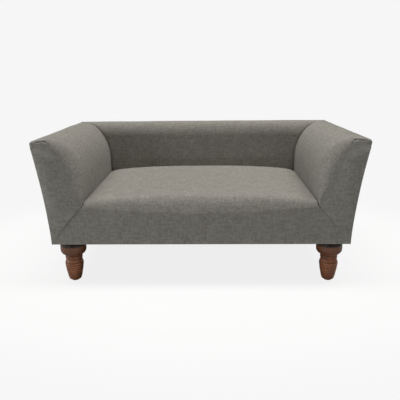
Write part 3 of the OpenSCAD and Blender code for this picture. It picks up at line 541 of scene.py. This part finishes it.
def face_away(bm, middle):
    """Turns the faces of an open sheet away from a point behind it."""
    bm.normal_update()
    lean = sum((f.calc_center_median() - Vector(middle)).dot(f.normal) * f.calc_area() for f in bm.faces)
    if lean < 0:
        bmesh.ops.reverse_faces(bm, faces=bm.faces)
    bm.normal_update()


def ripple(bm, depth, scale, fade, seed):
    """Moves a surface in and out by soft uneven waves, so that cloth looks drawn over padding by hand."""
    bm.normal_update()
    start = Vector((seed, 0, 0))
    moves = [v.normal * depth * noise.noise(v.co * scale + start) * fade(v.co) for v in bm.verts]
    for v, move in zip(bm.verts, moves):
        v.co += move


def put(name, bm, material, slot, *nodes):
    """Makes a mesh object of a bmesh, dressed and riding on the frame."""
    mesh = bpy.data.meshes.new(name)
    bm.to_mesh(mesh)
    bm.free()
    for polygon in mesh.polygons:
        polygon.use_smooth = True
    piece = bpy.data.objects.new(name, mesh)
    bpy.context.scene.collection.objects.link(piece)
    mesh.materials.append(material)
    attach(piece, "root")
    if nodes:
        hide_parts(*nodes)
    return piece


# Cloth before it is cut to its curves, as a share of the finished cover
CUT_AWAY = 1.15


def put_cover(node, bm, thickness, material, slot="cloth"):
    """Puts a cover in place of its solid, as a sheet stretched over what it rests on, and thickens it."""
    area = sum(face.calc_area() for face in bm.faces)
    piece = put(f"{node}_cloth", bm, material, slot, node)
    low, high = (Vector(corner) for corner in (piece.bound_box[0], piece.bound_box[6]))
    wide = max((high - low).x, (high - low).y)
    area / wide * CUT_AWAY
    solid = piece.modifiers.new("thickness", "SOLIDIFY")
    solid.thickness = thickness
    solid.offset = -1.0


def mirror_left(bm, side):
    """Turns a piece of the right side into the left side's."""
    if side < 0:
        bmesh.ops.scale(bm, vec=(-1, 1, 1), verts=bm.verts)
        bmesh.ops.reverse_faces(bm, faces=bm.faces)


def run_lengths(lengths, t):
    """Which of the stretches a share t of the whole falls in, and how far along it."""
    t *= sum(lengths)
    for n, length in enumerate(lengths):
        if t <= length or n == len(lengths) - 1:
            return n, clamp(t / length)
        t -= length


# Covers

class SeatShape:
    """The seat's surface and the line of its front seams.

    Steps i go across it, from side to side. Steps j go from the back, over the front and down to the hem.
    The first step of each is the skirt beside the arms and the back, and the rounding ends at RIM."""
    RIM, FRONT, FOOT, HEM = 4, 9, 15, 19
    ACROSS = 16

    def __init__(self, section):
        self.s, self.sec = sofa().seat, section
        self.half = section.half - section.b.wall_in - GAP
        self.back = section.back - section.b.wall_in - GAP
        self.seam_top = section.seam_z - section.seam_fall

    def front_half(self, z):
        """Half width of the seat's cover at a height on the front."""
        sec = self.sec
        t = clamp((z - sec.hem_z) / (self.seam_top - sec.hem_z))
        reach = sec.b.wall_in - sec.b.lean - sec.b.edge
        bend = sec.front_round(0) * t * clamp((sec.seam_z - z) / sec.seam_fall)
        return self.half + (1 - t ** self.s.seam_bow) * reach + bend

    def roll_at(self, m):
        """Radius of the front edge at a step from the side."""
        inner, reach = max(0.0, m - self.RIM), 3.2
        return self.s.roll * blend(1.0, self.s.side_roll, ease(1 - inner / reach))

    def round_corner(self, x, y, r):
        """Bends a square corner's two sides into an arc: in from each side, and depth from the edge."""
        p, q = 1 - x / r, 1 - y / r
        if p <= 0 or q <= 0:
            return x, y, min(x, y)
        px, qy = p * math.sqrt(1 - q * q / 2), q * math.sqrt(1 - p * p / 2)
        return r * (1 - px), r * (1 - qy), r * (1 - math.hypot(px, qy))

    def edge_in(self, i, r):
        """How far in from the edge a step lies."""
        return 0.0 if i <= 1 else r * (1 - math.cos(math.pi / 2 * clamp((i - 1) / (self.RIM - 1))))

    def at(self, i, j):
        """The point of the surface at a step across and a step from the back."""
        s, sec = self.s, self.sec
        rim, front, foot = self.RIM, self.FRONT, self.FOOT
        m, side = min(i, self.ACROSS - i), -1 if i < self.ACROSS / 2 else 1
        r = s.edge
        theta = math.pi / 2 * clamp((j - front) / (foot - front))
        flat = math.cos(theta) ** 2
        beyond_rim = 0.08
        inner = (m - rim) / (self.ACROSS / 2 - rim)
        y_in = self.edge_in(j, r) if j <= rim else r + (j - rim) * beyond_rim
        inward = self.edge_in(m, r) if m <= rim else blend(r, self.half, inner)
        cx, cy, depth = self.round_corner(inward, y_in, s.corner)
        skirt = max(1 - m, 1 - j, 0.0)
        drop = r - math.sqrt(max(r * r - (r - min(depth, r)) ** 2, 0.0)) + skirt * (s.tuck - s.edge)
        t = clamp((j - rim) / (front - rim))
        roll = self.roll_at(m)
        if theta < math.pi / 2:
            z = s.height - s.fall * t - roll + roll * math.cos(theta)
        else:
            z = blend(s.height - s.fall - roll, sec.hem_z + sec.b.hem, clamp((j - foot) / (self.HEM - foot)))
        half = self.front_half(z)
        spread = 0.003
        if m <= rim:
            x = half - flat * cx - (1 - flat) * spread * m
        elif j > rim or inward >= s.corner:
            x = blend(half - flat * r - (1 - flat) * spread * rim, 0.0, inner)
        else:
            x = self.half - cx
        across = clamp(x / (self.half - r))
        fade = min(1.0, 1.6 * math.sin(math.pi / 2 * clamp(1 - (j - rim) / (foot - rim))))
        rise = s.crown * (1 - across ** 3) * flat * fade
        if j <= rim:
            y = self.back - cy
        elif j <= front:
            y = blend(self.back - s.edge, sec.front + roll, t)
        else:
            y = sec.front + roll - (roll + rise - drop * flat) * math.sin(theta)
        z += (rise - drop * flat) * math.cos(theta)
        return Vector((side * x, y, z))


def section_and_seat():
    section = Section()
    return section, SeatShape(section)


def pinch(distance, width):
    """1 on a seam, falling off smoothly beside it."""
    return math.exp(-(distance / width) ** 2)


# Rows up the arms' and the back's covers, and columns or rows in each strip of the covers
ROWS = 102
ARM_STRIPS = (3, 4, 26, 16, 62)
HEM_STRIPS = (3, 4, 53)
# Folds at an arm's front top corner, as [in from the outer edge, down from the top, back from the front]
FOLD_LINE = [(0.018, 0.0105, 0), (0.031, 0.0085, 0), (0.044, 0.0055, 0.001), (0.051, 0.0065, 0.003)]
FOLD_TAIL = [(0.048, 0.0055, 0.002), (0.055, 0.0135, 0.001), (0.063, 0.0265, 0)]


class SOFA_OT_arm_covers(bpy.types.Operator):
    """Cover of each arm: front face, soft front edge, padded inner side, rolled top and outer top corner"""
    bl_idname = "dog_sofa.arm_covers"
    bl_label = "Arm covers"

    def execute(self, context):
        sec, seat = section_and_seat()
        b = sec.b
        woven = finish("woven_cloth", cloth_finish)
        slit = 0.0015
        hem_reach = sec.drop_z - slit - sec.hem_z

        def outer(k):
            """Point of the outer edge that meets point k of the section."""
            z = sec.hem_z + (1 - (1 - k / sec.DROP) ** 1.6) * hem_reach
            return sec.lean_at(z), z

        def place(u, v):
            """Strips: wrapped round the side, outer edge, front face, soft front edge and inner side."""
            n, t = run_lengths(ARM_STRIPS, u)
            k = v * sec.DROP
            r = sec.front_round(k)
            q = outer(k)
            if n == 0:
                d = blend(b.side_wrap, b.edge, t)
                return (sec.half - q[0], sec.front + d, q[1]), (q[0] - 0.5 - d, q[1])
            if n == 1:
                a = math.pi / 2 * t
                inset, d = b.edge * (1 - math.cos(a)), b.edge * (1 - math.sin(a))
                return (sec.half - q[0] - inset, sec.front + d, q[1]), (q[0] - 0.5 + inset, q[1])
            face = sec.at(k, r, sec.seam_z - sec.seam_fall)
            if n == 2:
                p = blend(q[0] + b.edge, face[0], t), blend(q[1], face[1], t)
                straight = blend(b.lean + b.edge, b.wall_in - sec.front_round(0), t)
                z = blend(sec.hem_z, seat.seam_top, t)
                seam = sec.half - seat.front_half(z)
                pull = max(0.0, 1 - k / 6) * (straight - seam)
                low = ease((p[1] - sec.hem_z) / 0.14)
                high = ease((b.height - 0.004 - p[1]) / 0.05)
                puff = b.face_puff * math.sin(math.pi * clamp(t) ** 0.85) * low * high
                return (sec.half - p[0] + pull, sec.front - puff, p[1]), (p[0] - pull - 0.5, p[1])
            if n == 3:
                a = math.pi / 2 * t
                d = r * (1 - math.cos(a))
                fall = sec.seam_fall * (1 - t)
                p = sec.at(k, r * (1 - math.sin(a)), sec.foot_z(d) - fall)
                return (sec.half - p[0], sec.front + d, p[1]), (r * a, sec.length_at(k))
            t = 0.4 * t + 0.6 * math.sin(math.pi / 2 * t)
            end = b.depth - sec.back_in(k) - GAP
            d = blend(r, end, t)
            sink = 0.0012 * pinch(end - d, 0.0018) - 0.0008 * pinch(end - d - 0.005, 0.004)
            p = sec.at(k, sink if k < sec.CORNER else 0, sec.foot_z(d))
            return (sec.half - p[0], sec.front + d, p[1]), (r * math.pi / 2 + d - r, sec.length_at(k))

        for name, side in SIDES.items():
            bm = mapped_grid(sum(ARM_STRIPS), ROWS, place)
            face_away(bm, (sec.half - 0.07, 0.0, 0.3))
            self.fold(bm, sec)
            ripple(bm, 0.0011, 9.0, lambda p: ease((p.z - 0.14) / 0.06), seed=side * 3.7)
            mirror_left(bm, side)
            put_cover(f"{name}_arm_cover", bm, b.cloth, woven)
        return {"FINISHED"}

    def fold(self, bm, sec):
        """Folds the cloth under along the front face's top, and into a small pleat where the roll starts."""
        top = sec.b.height

        def on(inward, down, back=0.0):
            return Vector((sec.half - inward, sec.front + back, top - down))

        line = [on(*point) for point in FOLD_LINE]
        tail = [on(*point) for point in FOLD_TAIL]
        near = [e for e in bm.edges if min((v.co - on(0.045, 0.01)).length for v in e.verts) < 0.035]
        bmesh.ops.subdivide_edges(bm, edges=near, cuts=2, use_grid_fill=True)
        bm.normal_update()

        def away(p, path):
            """Distance from a path, and the share of it that is passed there."""
            best, place = 1.0, 0.0
            for n, (a, c) in enumerate(zip(path, path[1:])):
                t = clamp((p - a).dot(c - a) / (c - a).length_squared)
                gap = (p - a.lerp(c, t)).length
                if gap < best:
                    best, place = gap, (n + t) / (len(path) - 1)
            return best, place

        for v in bm.verts:
            if v.co.y > sec.front + 0.03 or v.co.z < top - 0.05:
                continue
            gap, place = away(v.co, line)
            deep = 0.0042 * pinch(gap, 0.0021) * ease(min(place * 4, 1)) * (0.55 + 0.45 * place)
            gap, place = away(v.co, tail)
            deep += 0.0022 * pinch(gap, 0.003) * ease((1 - place) * 1.3)
            v.co -= v.normal * deep


class SOFA_OT_back_cover(bpy.types.Operator):
    """Cover of the back: padded inner side, rolled top and outer top corner, between the arms' mitres"""
    bl_idname = "dog_sofa.back_cover"
    bl_label = "Back cover"

    def execute(self, context):
        sec = Section()
        b = sec.b

        def place(u, v):
            k = v * sec.DROP
            # columns crowd towards the mitres
            n = 2 * u - 1
            n *= 1.35 - 0.35 * n * n
            reach = sec.half - sec.at(k, 0, sec.deck_z)[0] - GAP
            gap = (1 - abs(n)) * reach
            sink = 0.0026 * pinch(gap, 0.005) if k < sec.CORNER else 0
            p = sec.at(k, sink, sec.deck_z)
            reach = sec.half - p[0] - GAP
            crown = b.back_crown * (1 - n ** 4) * ease((k - 7) / 4) * ease((15.5 - k) / 3)
            return (n * reach, sec.back - sec.back_in(k, sink), p[1] + crown), (n * reach, sec.length_at(k))

        bm = mapped_grid(150, ROWS, place)
        face_away(bm, (0, sec.back - 0.07, 0.3))
        ripple(bm, 0.0012, 7.5, lambda p: ease((0.42 - abs(p.x)) / 0.1), seed=11.0)
        put_cover("back_cover", bm, b.cloth, finish("woven_cloth", cloth_finish))
        return {"FINISHED"}


class SOFA_OT_seat_cover(bpy.types.Operator):
    """Cover of the seat: crowned top with rounded rear corners, rolled front edge, front panel and hem"""
    bl_idname = "dog_sofa.seat_cover"
    bl_label = "Seat cover"

    def execute(self, context):
        sec, seat = section_and_seat()
        b = sec.b
        rim, front, foot, hem, last = seat.RIM, seat.FRONT, seat.FOOT, seat.HEM, seat.ACROSS
        i_marks = (0, 1, rim, last // 2, last - rim, last - 1, last)
        j_marks = (0, 1, rim, front, foot, hem, hem + 2, hem + 3)
        across = (3, 12, 60, 60, 12, 3)
        deep = (3, 12, 60, 26, 26, 6, 4)

        def place(u, v):
            n, t = run_lengths(across, u)
            i = blend(i_marks[n], i_marks[n + 1], t)
            n, t = run_lengths(deep, v)
            j = blend(j_marks[n], j_marks[n + 1], t)
            p = seat.at(i, min(j, hem))
            if j > hem:
                a = math.pi / 2 * clamp((j - hem) / 2)
                y = sec.front + b.hem * (1 - math.cos(a)) + clamp(j - hem - 2) * (b.turn_under - b.hem)
                z = sec.hem_z + b.hem * (1 - math.sin(a))
                return Vector((p.x, y, z)), (p.x, -0.58 - (j - hem) * 0.004)
            from_seam = seat.front_half(p.z) - abs(p.x)
            sink = 0.0003 * pinch(from_seam, 0.0025) * ease((j - 11) / 4) * ease((p.z - 0.13) / 0.09)
            puff = 0.0013 * ease(from_seam / 0.06) * math.sin(math.pi * clamp((j - 13) / 6)) ** 2
            p.y += sink - puff
            if j <= front:
                down = seat.back - p.y
            elif j <= foot:
                down = 0.43 + (j - front) * 0.011
            else:
                down = 0.712 - p.z
            return p, (p.x, -down)

        bm = mapped_grid(sum(across), sum(deep), place)
        face_away(bm, (0, 0, 0.1))
        ripple(bm, 0.0014, 6.0, lambda p: ease((0.33 - abs(p.x)) / 0.06) * ease((0.15 - p.y) / 0.05)
               * ease((p.z - 0.13) / 0.03), seed=5.0)
        put_cover("seat_cover", bm, b.cloth, finish("woven_cloth", cloth_finish))
        return {"FINISHED"}


class SOFA_OT_outside_covers(bpy.types.Operator):
    """Outside covers of the arms and the back, turned under at the hem"""
    bl_idname = "dog_sofa.outside_covers"
    bl_label = "Outside covers"

    def execute(self, context):
        sec = Section()
        b = sec.b
        top = sec.drop_z - GAP
        woven = finish("woven_cloth", cloth_finish)

        def profile(v):
            """Turned under, round the hem, and up the leaning side: in, height and length of cloth."""
            n, t = run_lengths(HEM_STRIPS, v)
            base = sec.lean_at(sec.hem_z)
            if n == 0:
                return blend(base + b.turn_under, base + b.hem, t), sec.hem_z, blend(-b.turn_under, -b.hem, t)
            if n == 1:
                a = math.pi / 2 * t
                inset, rise = b.hem * (1 - math.sin(a)), b.hem * (1 - math.cos(a))
                return base + inset, sec.hem_z + rise, b.hem * (t - 1)
            z = blend(sec.hem_z + b.hem, top, t)
            return sec.lean_at(z), z, z - sec.hem_z

        def puff(v, rim):
            """How far the cloth stands out, pulled in along its rim and its top."""
            n, t = run_lengths(HEM_STRIPS, v)
            if n < 2:
                return 0.0
            edge = 0.0014 * pinch(rim, 0.004) + 0.0012 * pinch((1 - t) * 0.28, 0.003)
            return 0.0018 * ease(rim / 0.05) * math.sin(math.pi * t) - edge

        def arm(u, v):
            d_in, z, length = profile(v)
            begin = sec.front + (b.side_wrap if z > sec.hem_z + 0.0001 else b.turn_under) + GAP
            end = sec.back - d_in - GAP
            t = 0.5 + 0.5 * math.sin(math.pi * (u - 0.5)) * 0.35 + (u - 0.5) * 0.65
            y = blend(begin, end, t)
            out = puff(v, min(y - begin, end - y))
            return (sec.half - d_in + out, y, z), (y, length)

        def rear(u, v):
            d_in, z, length = profile(v)
            reach = sec.half - d_in - GAP
            n = 2 * u - 1
            n *= 1.3 - 0.3 * n * n
            out = puff(v, (1 - abs(n)) * reach)
            return (n * reach, sec.back - d_in + out, z), (n * reach, length)

        def between_edges(p):
            return ease((p.z - 0.14) / 0.05) * ease((0.4 - p.z) / 0.04)

        def sheet(columns, placed, depth, scale, seed):
            bm = mapped_grid(columns, sum(HEM_STRIPS), placed)
            face_away(bm, (0, 0, 0.5))
            ripple(bm, depth, scale, between_edges, seed)
            return bm

        for name, side in SIDES.items():
            bm = sheet(90, arm, 0.0008, 7.0, side * 9.0)
            mirror_left(bm, side)
            put_cover(f"{name}_outside_cover", bm, b.cloth, woven)
        bm = sheet(130, rear, 0.0009, 6.0, 21.0)
        put_cover("back_outside_cover", bm, b.cloth, woven)
        return {"FINISHED"}


class SOFA_OT_dust_cover(bpy.types.Operator):
    """Black non-woven dust cover under the frame, slightly slack between its staples"""
    bl_idname = "dog_sofa.dust_cover"
    bl_label = "Dust cover"

    def execute(self, context):
        low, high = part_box("dust_cover")
        spots = [sum(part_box(f"leg_{place}"), Vector()) / 2 for place in LEG_PLACES]
        around_leg, no_leg = 0.04, 0.1

        def place(u, v):
            x, y = blend(low.x, high.x, u), blend(low.y, high.y, v)
            clear = min([no_leg] + [max(0.0, math.hypot(x - s.x, y - s.y) - around_leg) for s in spots])
            rim = min(x - low.x, high.x - x, y - low.y, high.y - y)
            slack = 0.0035 * ease((rim - 0.012) / 0.05) * ease(clear / 0.06)
            wave = noise.noise(Vector((x * 14, y * 14, 3.0))) * 0.4 + 0.8
            return (x, y, low.z - slack * wave), (x, y)

        bm = mapped_grid(120, 76, place)
        face_away(bm, (0, 0, 1))
        black = finish("non_woven_cloth", dust_finish)
        put_cover("dust_cover", bm, high.z - low.z, black, "dust_cloth")
        return {"FINISHED"}


# Padding

def pad(node, material, slot, voxel):
    """A foam or wadding piece on its solid's form, with softened edges."""
    bm = bmesh.new()
    bm.from_mesh(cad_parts[node].data)
    bmesh.ops.remove_doubles(bm, verts=bm.verts, dist=0.00002)
    for layer in list(bm.loops.layers.uv.values()):
        bm.loops.layers.uv.remove(layer)
    piece = put(f"{node}_pad", bm, material, slot, node)
    even = piece.modifiers.new("even", "REMESH")
    even.mode = "VOXEL"
    even.voxel_size = voxel
    even.use_smooth_shade = True
    soft = piece.modifiers.new("soft", "SMOOTH")
    soft.factor = 0.5
    soft.iterations = 2


class SOFA_OT_foam(bpy.types.Operator):
    """Foam of the arms, the back and the seat"""
    bl_idname = "dog_sofa.foam"
    bl_label = "Foam"

    def execute(self, context):
        for node in ("left_arm_foam", "right_arm_foam", "back_foam", "seat_foam"):
            pad(node, finish("foam", foam_finish), "foam", 0.006)
        return {"FINISHED"}


class SOFA_OT_wadding(bpy.types.Operator):
    """Wadding over the seat and on the front faces of the arms"""
    bl_idname = "dog_sofa.wadding"
    bl_label = "Wadding"

    def execute(self, context):
        for node in ("left_arm_front_wadding", "right_arm_front_wadding", "seat_wadding"):
            pad(node, finish("wadding", wadding_finish), "wadding", 0.0024)
        return {"FINISHED"}


# Legs

# Turned profiles down a leg, as [share of its height, share of the largest radius]
COLLAR_SHAPE = [
    (0, 0.92), (0.05, 0.985), (0.12, 1), (0.19, 1), (0.235, 0.977), (0.262, 0.937), (0.288, 0.868),
    (0.313, 0.776), (0.338, 0.694), (0.355, 0.662)]
BODY_SHAPE = [
    (0.443, 0.845), (0.47, 0.885), (0.495, 0.94), (0.52, 0.975), (0.547, 1), (0.573, 1), (0.6, 0.983),
    (0.65, 0.95), (0.705, 0.92), (0.757, 0.87), (0.81, 0.822), (0.863, 0.775), (0.89, 0.752), (0.916, 0.71),
    (0.943, 0.672), (0.962, 0.62), (0.974, 0.54), (0.9797, 0.46)]
# Fine turned lines, and the ring between collar and body, as shares of a leg's height
FIRST_LINE = 0.5235
LINE_STEP = 0.0554
RING_TOP = 0.64
RING_FOOT = 0.566


class SOFA_OT_legs(bpy.types.Operator):
    """Turned legs with a rounded collar, a ring, a groove and a tapering body with fine turned lines"""
    bl_idname = "dog_sofa.legs"
    bl_label = "Legs"

    def outline(self):
        """Points down the leg: radius, height and how dark it is painted there, by stain in the turned lines
        and by painted shade.
        """
        s = sofa().legs
        bore = 0.006
        points = [(bore, s.height, 1.0)]

        def run(table, radius, steps, detail):
            for n in range(steps + 1):
                t = blend(table[0][0], table[-1][0], n / steps)
                cut, dark = detail(t)
                points.append((radius * curve_through(table, t) - cut, s.height * (1 - t), dark))

        def on_collar(t):
            line = pinch(t - 0.262, 0.012) + pinch(t - 0.205, 0.01) * 0.6
            # Painted shade: the whole collar darker and its top darkest, where the cloth above shades it; its
            # two fine lines add stain
            return 0.0004 * line, 0.62 + 0.38 * ease((0.11 - t) / 0.035) + 0.2 * line

        def on_body(t):
            fine = pinch(math.remainder(t - FIRST_LINE, LINE_STEP), 0.012) if 0.5 < t < 0.93 else 0.0
            # Painted shade just under the groove, and darker towards the foot
            ends = 0.4 * ease((0.475 - t) / 0.03) + 0.3 * ease((t - 0.93) / 0.05)
            return s.cut * fine, 0.75 * fine + ends

        run(COLLAR_SHAPE, s.collar / 2, 48, on_collar)
        ring, groove = s.ring / 2, s.groove / 2
        # Painted shade: full where the ring meets the collar and in the groove, and growing from the ring's
        # middle towards its edges
        points.append((ring * 0.965, s.height * 0.6415, 1.0))
        steps, upper, lower = 14, 74, -66
        for n in range(steps + 1):
            a = math.radians(blend(upper, lower, n / steps))
            radius = groove + (ring - groove) * (0.35 + 0.65 * math.cos(a))
            rise = 0.5 + 0.5 * math.sin(a) / math.sin(math.radians(upper))
            dark = 0.45 + 0.5 * (1 - math.cos(a))
            points.append((radius, s.height * blend(RING_FOOT, RING_TOP, rise), dark))
        points.append((groove * 0.985, s.height * 0.5605, 1.0))
        run(BODY_SHAPE, s.body / 2, 110, on_body)
        points.append((s.body * 0.15, points[-1][1], 0.6))
        return points

    def execute(self, context):
        for place in LEG_PLACES:
            low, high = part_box(f"leg_{place}")
            middle = ((low + high) / 2).to_2d()
            bm = bmesh.new()
            # A layer of painted shade, and of stain in the turned lines, that the leg's finish reads
            shade = bm.verts.layers.float_color.new("hollow")
            previous = None
            for r, z, hollow in self.outline():
                v = bm.verts.new((r, 0, z))
                v[shade] = (hollow, hollow, hollow, 1.0)
                if previous:
                    bm.edges.new((previous, v))
                previous = v
            bmesh.ops.spin(bm, geom=bm.verts[:] + bm.edges[:], cent=(0, 0, 0), axis=(0, 0, 1),
                           angle=2 * math.pi, steps=72, use_merge=True)
            bmesh.ops.holes_fill(bm, edges=[e for e in bm.edges if e.is_boundary])
            bmesh.ops.recalc_face_normals(bm, faces=bm.faces)
            bmesh.ops.translate(bm, vec=(middle.x, middle.y, 0), verts=bm.verts)
            put(f"turned_leg_{place}", bm, finish("stained_wood", leg_finish), "stained_wood", f"leg_{place}")
        return {"FINISHED"}


# Stitches

class SOFA_OT_stitches(bpy.types.Operator):
    """Slip stitches that close the slanting front seams"""
    bl_idname = "dog_sofa.stitches"
    bl_label = "Stitches"

    def execute(self, context):
        sec, seat = section_and_seat()
        bm = bmesh.new()
        low = sec.hem_z + 0.006
        count, half_length, half_width, sunk, near = 26, 0.0014, 0.00035, 0.0006, 0.002
        shape = Matrix.Diagonal((half_length, half_width, half_width, 1.0))
        for side in SIDES.values():
            for n in range(count):
                z = blend(low, seat.seam_top, (n + 0.5) / count)
                lean = (seat.front_half(z + near) - seat.front_half(z - near)) / (2 * near)
                turn = Matrix.Rotation(math.atan2(1.0, lean * side), 4, "Y")
                made = bmesh.ops.create_icosphere(bm, subdivisions=1, radius=1.0)["verts"]
                spot = Matrix.Translation((side * seat.front_half(z), sec.front + sunk, z))
                bmesh.ops.transform(bm, matrix=spot @ turn.inverted() @ shape, verts=made)
        put("front_seam_stitches", bm, finish("woven_cloth", cloth_finish), "cloth")
        return {"FINISHED"}


# Frame

class SOFA_OT_frame_finish(bpy.types.Operator):
    """Finishes of the frame's timber, boards and fittings"""
    bl_idname = "dog_sofa.frame_finish"
    bl_label = "Frame finishes"

    def execute(self, context):
        across, deep, upright = (finish(f"timber_{way}", timber_finish, f"timber_{way}", axis)
                                 for axis, way in enumerate(("across", "deep", "upright")))
        hardboard, zinc = finish("hardboard", board_finish), finish("zinc_plate", zinc_finish)
        dress = {"cross_rail": deep, "back_middle_post": upright,
                 "seat_deck": finish("plywood", plywood_finish),
                 "glides": finish("glide_plastic", glide_finish)}
        for name in ("front_rail", "back_rail", "back_top_rail", "back_tack_rail"):
            dress[name] = across
        for side in SIDES:
            for name in ("side_rail", "arm_top_rail", "arm_tack_rail"):
                dress[f"{side}_{name}"] = deep
            for name in ("arm_front_board", "rear_post"):
                dress[f"{side}_{name}"] = upright
        for place in LEG_PLACES:
            dress[f"leg_block_{place}"] = across
        for name in ("left_arm", "right_arm", "back"):
            dress[f"{name}_inner_panel"] = dress[f"{name}_outer_panel"] = hardboard
        for name in ("staples", "deck_screws", "block_screws", "frame_screws", "hanger_bolts", "tee_nuts"):
            dress[name] = zinc
        for name, material in dress.items():
            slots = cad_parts[name].material_slots
            if not slots:
                raise RuntimeError(f"{name} has no material slot")
            for place in slots:
                place.material = material
        return {"FINISHED"}


# Stage

class SOFA_OT_stage(bpy.types.Operator):
    """Pale floor and backdrop, soft studio lights and the camera"""
    bl_idname = "dog_sofa.stage"
    bl_label = "Stage"

    def paper(self):
        """Floor that keeps a light shadow near the sofa and runs out into the plain backdrop."""
        s = sofa().stage
        f = Finish("stage_paper", roughness=1.0, specular_ior_level=0.0)
        seen = f.add("ShaderNodeLightPath", {}, {}, "Is Camera Ray")
        f.feed("Base Color", f.mix(seen, (s.floor_bounce,) * 3, s.paper))
        away = f.add("ShaderNodeVectorMath", {"operation": "LENGTH"}, {0: f.spot((0.8, 1.0, 1.0))}, "Value")
        far = away.step(0.45, 1.0)
        near_glow = f.add("ShaderNodeEmission", {}, {"Color": s.paper, "Strength": s.floor_lift})
        far_glow = f.add("ShaderNodeEmission", {}, {"Color": s.paper, "Strength": 1.0})
        lit = Value(f, f.surface.outputs[0])
        near = f.add("ShaderNodeMixShader", {}, {0: seen * (1.0 - s.shade_share), 1: lit, 2: near_glow})
        mixed = f.add("ShaderNodeMixShader", {}, {0: far * seen, 1: near, 2: far_glow})
        f.tree.links.new(mixed.socket, f.output.inputs["Surface"])
        return f.material

    def world(self):
        s = sofa().stage
        world = bpy.data.worlds.new("studio")
        world.use_nodes = True
        tree = world.node_tree
        tree.nodes.clear()
        out = tree.nodes.new("ShaderNodeOutputWorld")
        room, paper, pick = (tree.nodes.new(k) for k in ("ShaderNodeBackground", "ShaderNodeBackground",
                                                         "ShaderNodeMixShader"))
        rays = tree.nodes.new("ShaderNodeLightPath")
        room.inputs[0].default_value = (1, 1, 1, 1)
        room.inputs[1].default_value = s.room_light
        paper.inputs[0].default_value = (*s.paper, 1)
        tree.links.new(rays.outputs["Is Camera Ray"], pick.inputs[0])
        tree.links.new(room.outputs[0], pick.inputs[1])
        tree.links.new(paper.outputs[0], pick.inputs[2])
        tree.links.new(pick.outputs[0], out.inputs[0])
        bpy.context.scene.world = world

    def light(self, name, power, tint, size_x, size_y, at, towards):
        data = bpy.data.lights.new(name, "AREA")
        data.shape = "RECTANGLE"
        data.color = tint
        data.energy = power
        data.size = size_x
        data.size_y = size_y
        lamp = bpy.data.objects.new(name, data)
        lamp.location = at
        lamp.rotation_euler = (Vector(towards) - Vector(at)).to_track_quat("-Z", "Y").to_euler()
        bpy.context.scene.collection.objects.link(lamp)

    def camera(self):
        """A camera where the photograph was taken from, as the outline of the sofa tells."""
        place = Vector((0.032673, -1.706783, 0.608098))
        data = bpy.data.cameras.new("photograph")
        data.sensor_width = 36.0
        data.lens = 45.746
        data.clip_start = 0.05
        data.clip_end = 60.0
        cam = bpy.data.objects.new("photograph", data)
        yaw, pitch, roll = -0.0229, 0.2440, -0.0095
        ahead = Vector((math.sin(yaw) * math.cos(pitch), math.cos(yaw) * math.cos(pitch), -math.sin(pitch)))
        right = Vector((math.cos(yaw), -math.sin(yaw), 0))
        up = right.cross(ahead)
        c, s = math.cos(roll), math.sin(roll)
        turned = Matrix((c * right + s * up, -s * right + c * up, -ahead)).transposed().to_4x4()
        cam.matrix_world = Matrix.Translation(place) @ turned
        bpy.context.scene.collection.objects.link(cam)
        bpy.context.scene.camera = cam

    def execute(self, context):
        s = sofa().stage
        bm = bmesh.new()
        bmesh.ops.create_circle(bm, cap_ends=True, segments=96, radius=9.0)
        mesh = bpy.data.meshes.new("floor")
        bm.to_mesh(mesh)
        bm.free()
        floor = bpy.data.objects.new("floor", mesh)
        mesh.materials.append(self.paper())
        bpy.context.scene.collection.objects.link(floor)
        self.world()
        warm, cool = (1.0, 0.982, 0.957), (0.97, 1.0, 0.992)
        middle = (0, 0, 0.2)
        self.light("overhead", s.top_light, warm, 7.5, 1.7, (0.0, 0.1, 6.0), (0, 0, 0))
        self.light("side", s.side_light, warm, 0.8, 0.8, (1.6, 0.3, 2.0), middle)
        self.light("low", s.low_light, cool, 0.8, 0.8, (-3.0, -0.8, 0.7), middle)
        self.light("front", s.front_light, cool, 1.2, 0.8, (-1.8, -2.8, 0.8), middle)
        self.light("fill", s.fill_light, cool, 1.2, 0.8, (1.8, -2.8, 0.8), middle)
        self.camera()
        bpy.context.scene.view_settings.view_transform = "Standard"
        return {"FINISHED"}


class SOFA_PT_panel(bpy.types.Panel):
    """Lists the sofa's pieces and sizes."""
    bl_idname = "SOFA_PT_panel"
    bl_label = "Dog Sofa"
    bl_space_type = "VIEW_3D"
    bl_region_type = "UI"
    bl_category = "Dog Sofa"

    def draw(self, context):
        layout = self.layout
        for operator in OPERATORS:
            layout.operator(operator.bl_idname)
        for group in ("body", "seat", "legs", "colours", "stage"):
            box = layout.box()
            box.label(text=group.title())
            values = getattr(context.scene.dog_sofa, group)
            for name in values.__annotations__:
                box.prop(values, name)


OPERATORS = (SOFA_OT_stage, SOFA_OT_foam, SOFA_OT_wadding, SOFA_OT_arm_covers, SOFA_OT_back_cover,
             SOFA_OT_seat_cover, SOFA_OT_outside_covers, SOFA_OT_dust_cover, SOFA_OT_stitches, SOFA_OT_legs,
             SOFA_OT_frame_finish)
CLASSES = (SofaBody, SofaSeat, SofaLegs, SofaColours, SofaStage, DogSofa, *OPERATORS, SOFA_PT_panel)


def register():
    for cls in CLASSES:
        bpy.utils.register_class(cls)
    bpy.types.Scene.dog_sofa = PointerProperty(type=DogSofa)


def unregister():
    del bpy.types.Scene.dog_sofa
    for cls in reversed(CLASSES):
        bpy.utils.unregister_class(cls)


def main():
    register()
    for operator in OPERATORS:
        group, name = operator.bl_idname.split(".")
        getattr(getattr(bpy.ops, group), name)()


if __name__ == "__main__":
    main()
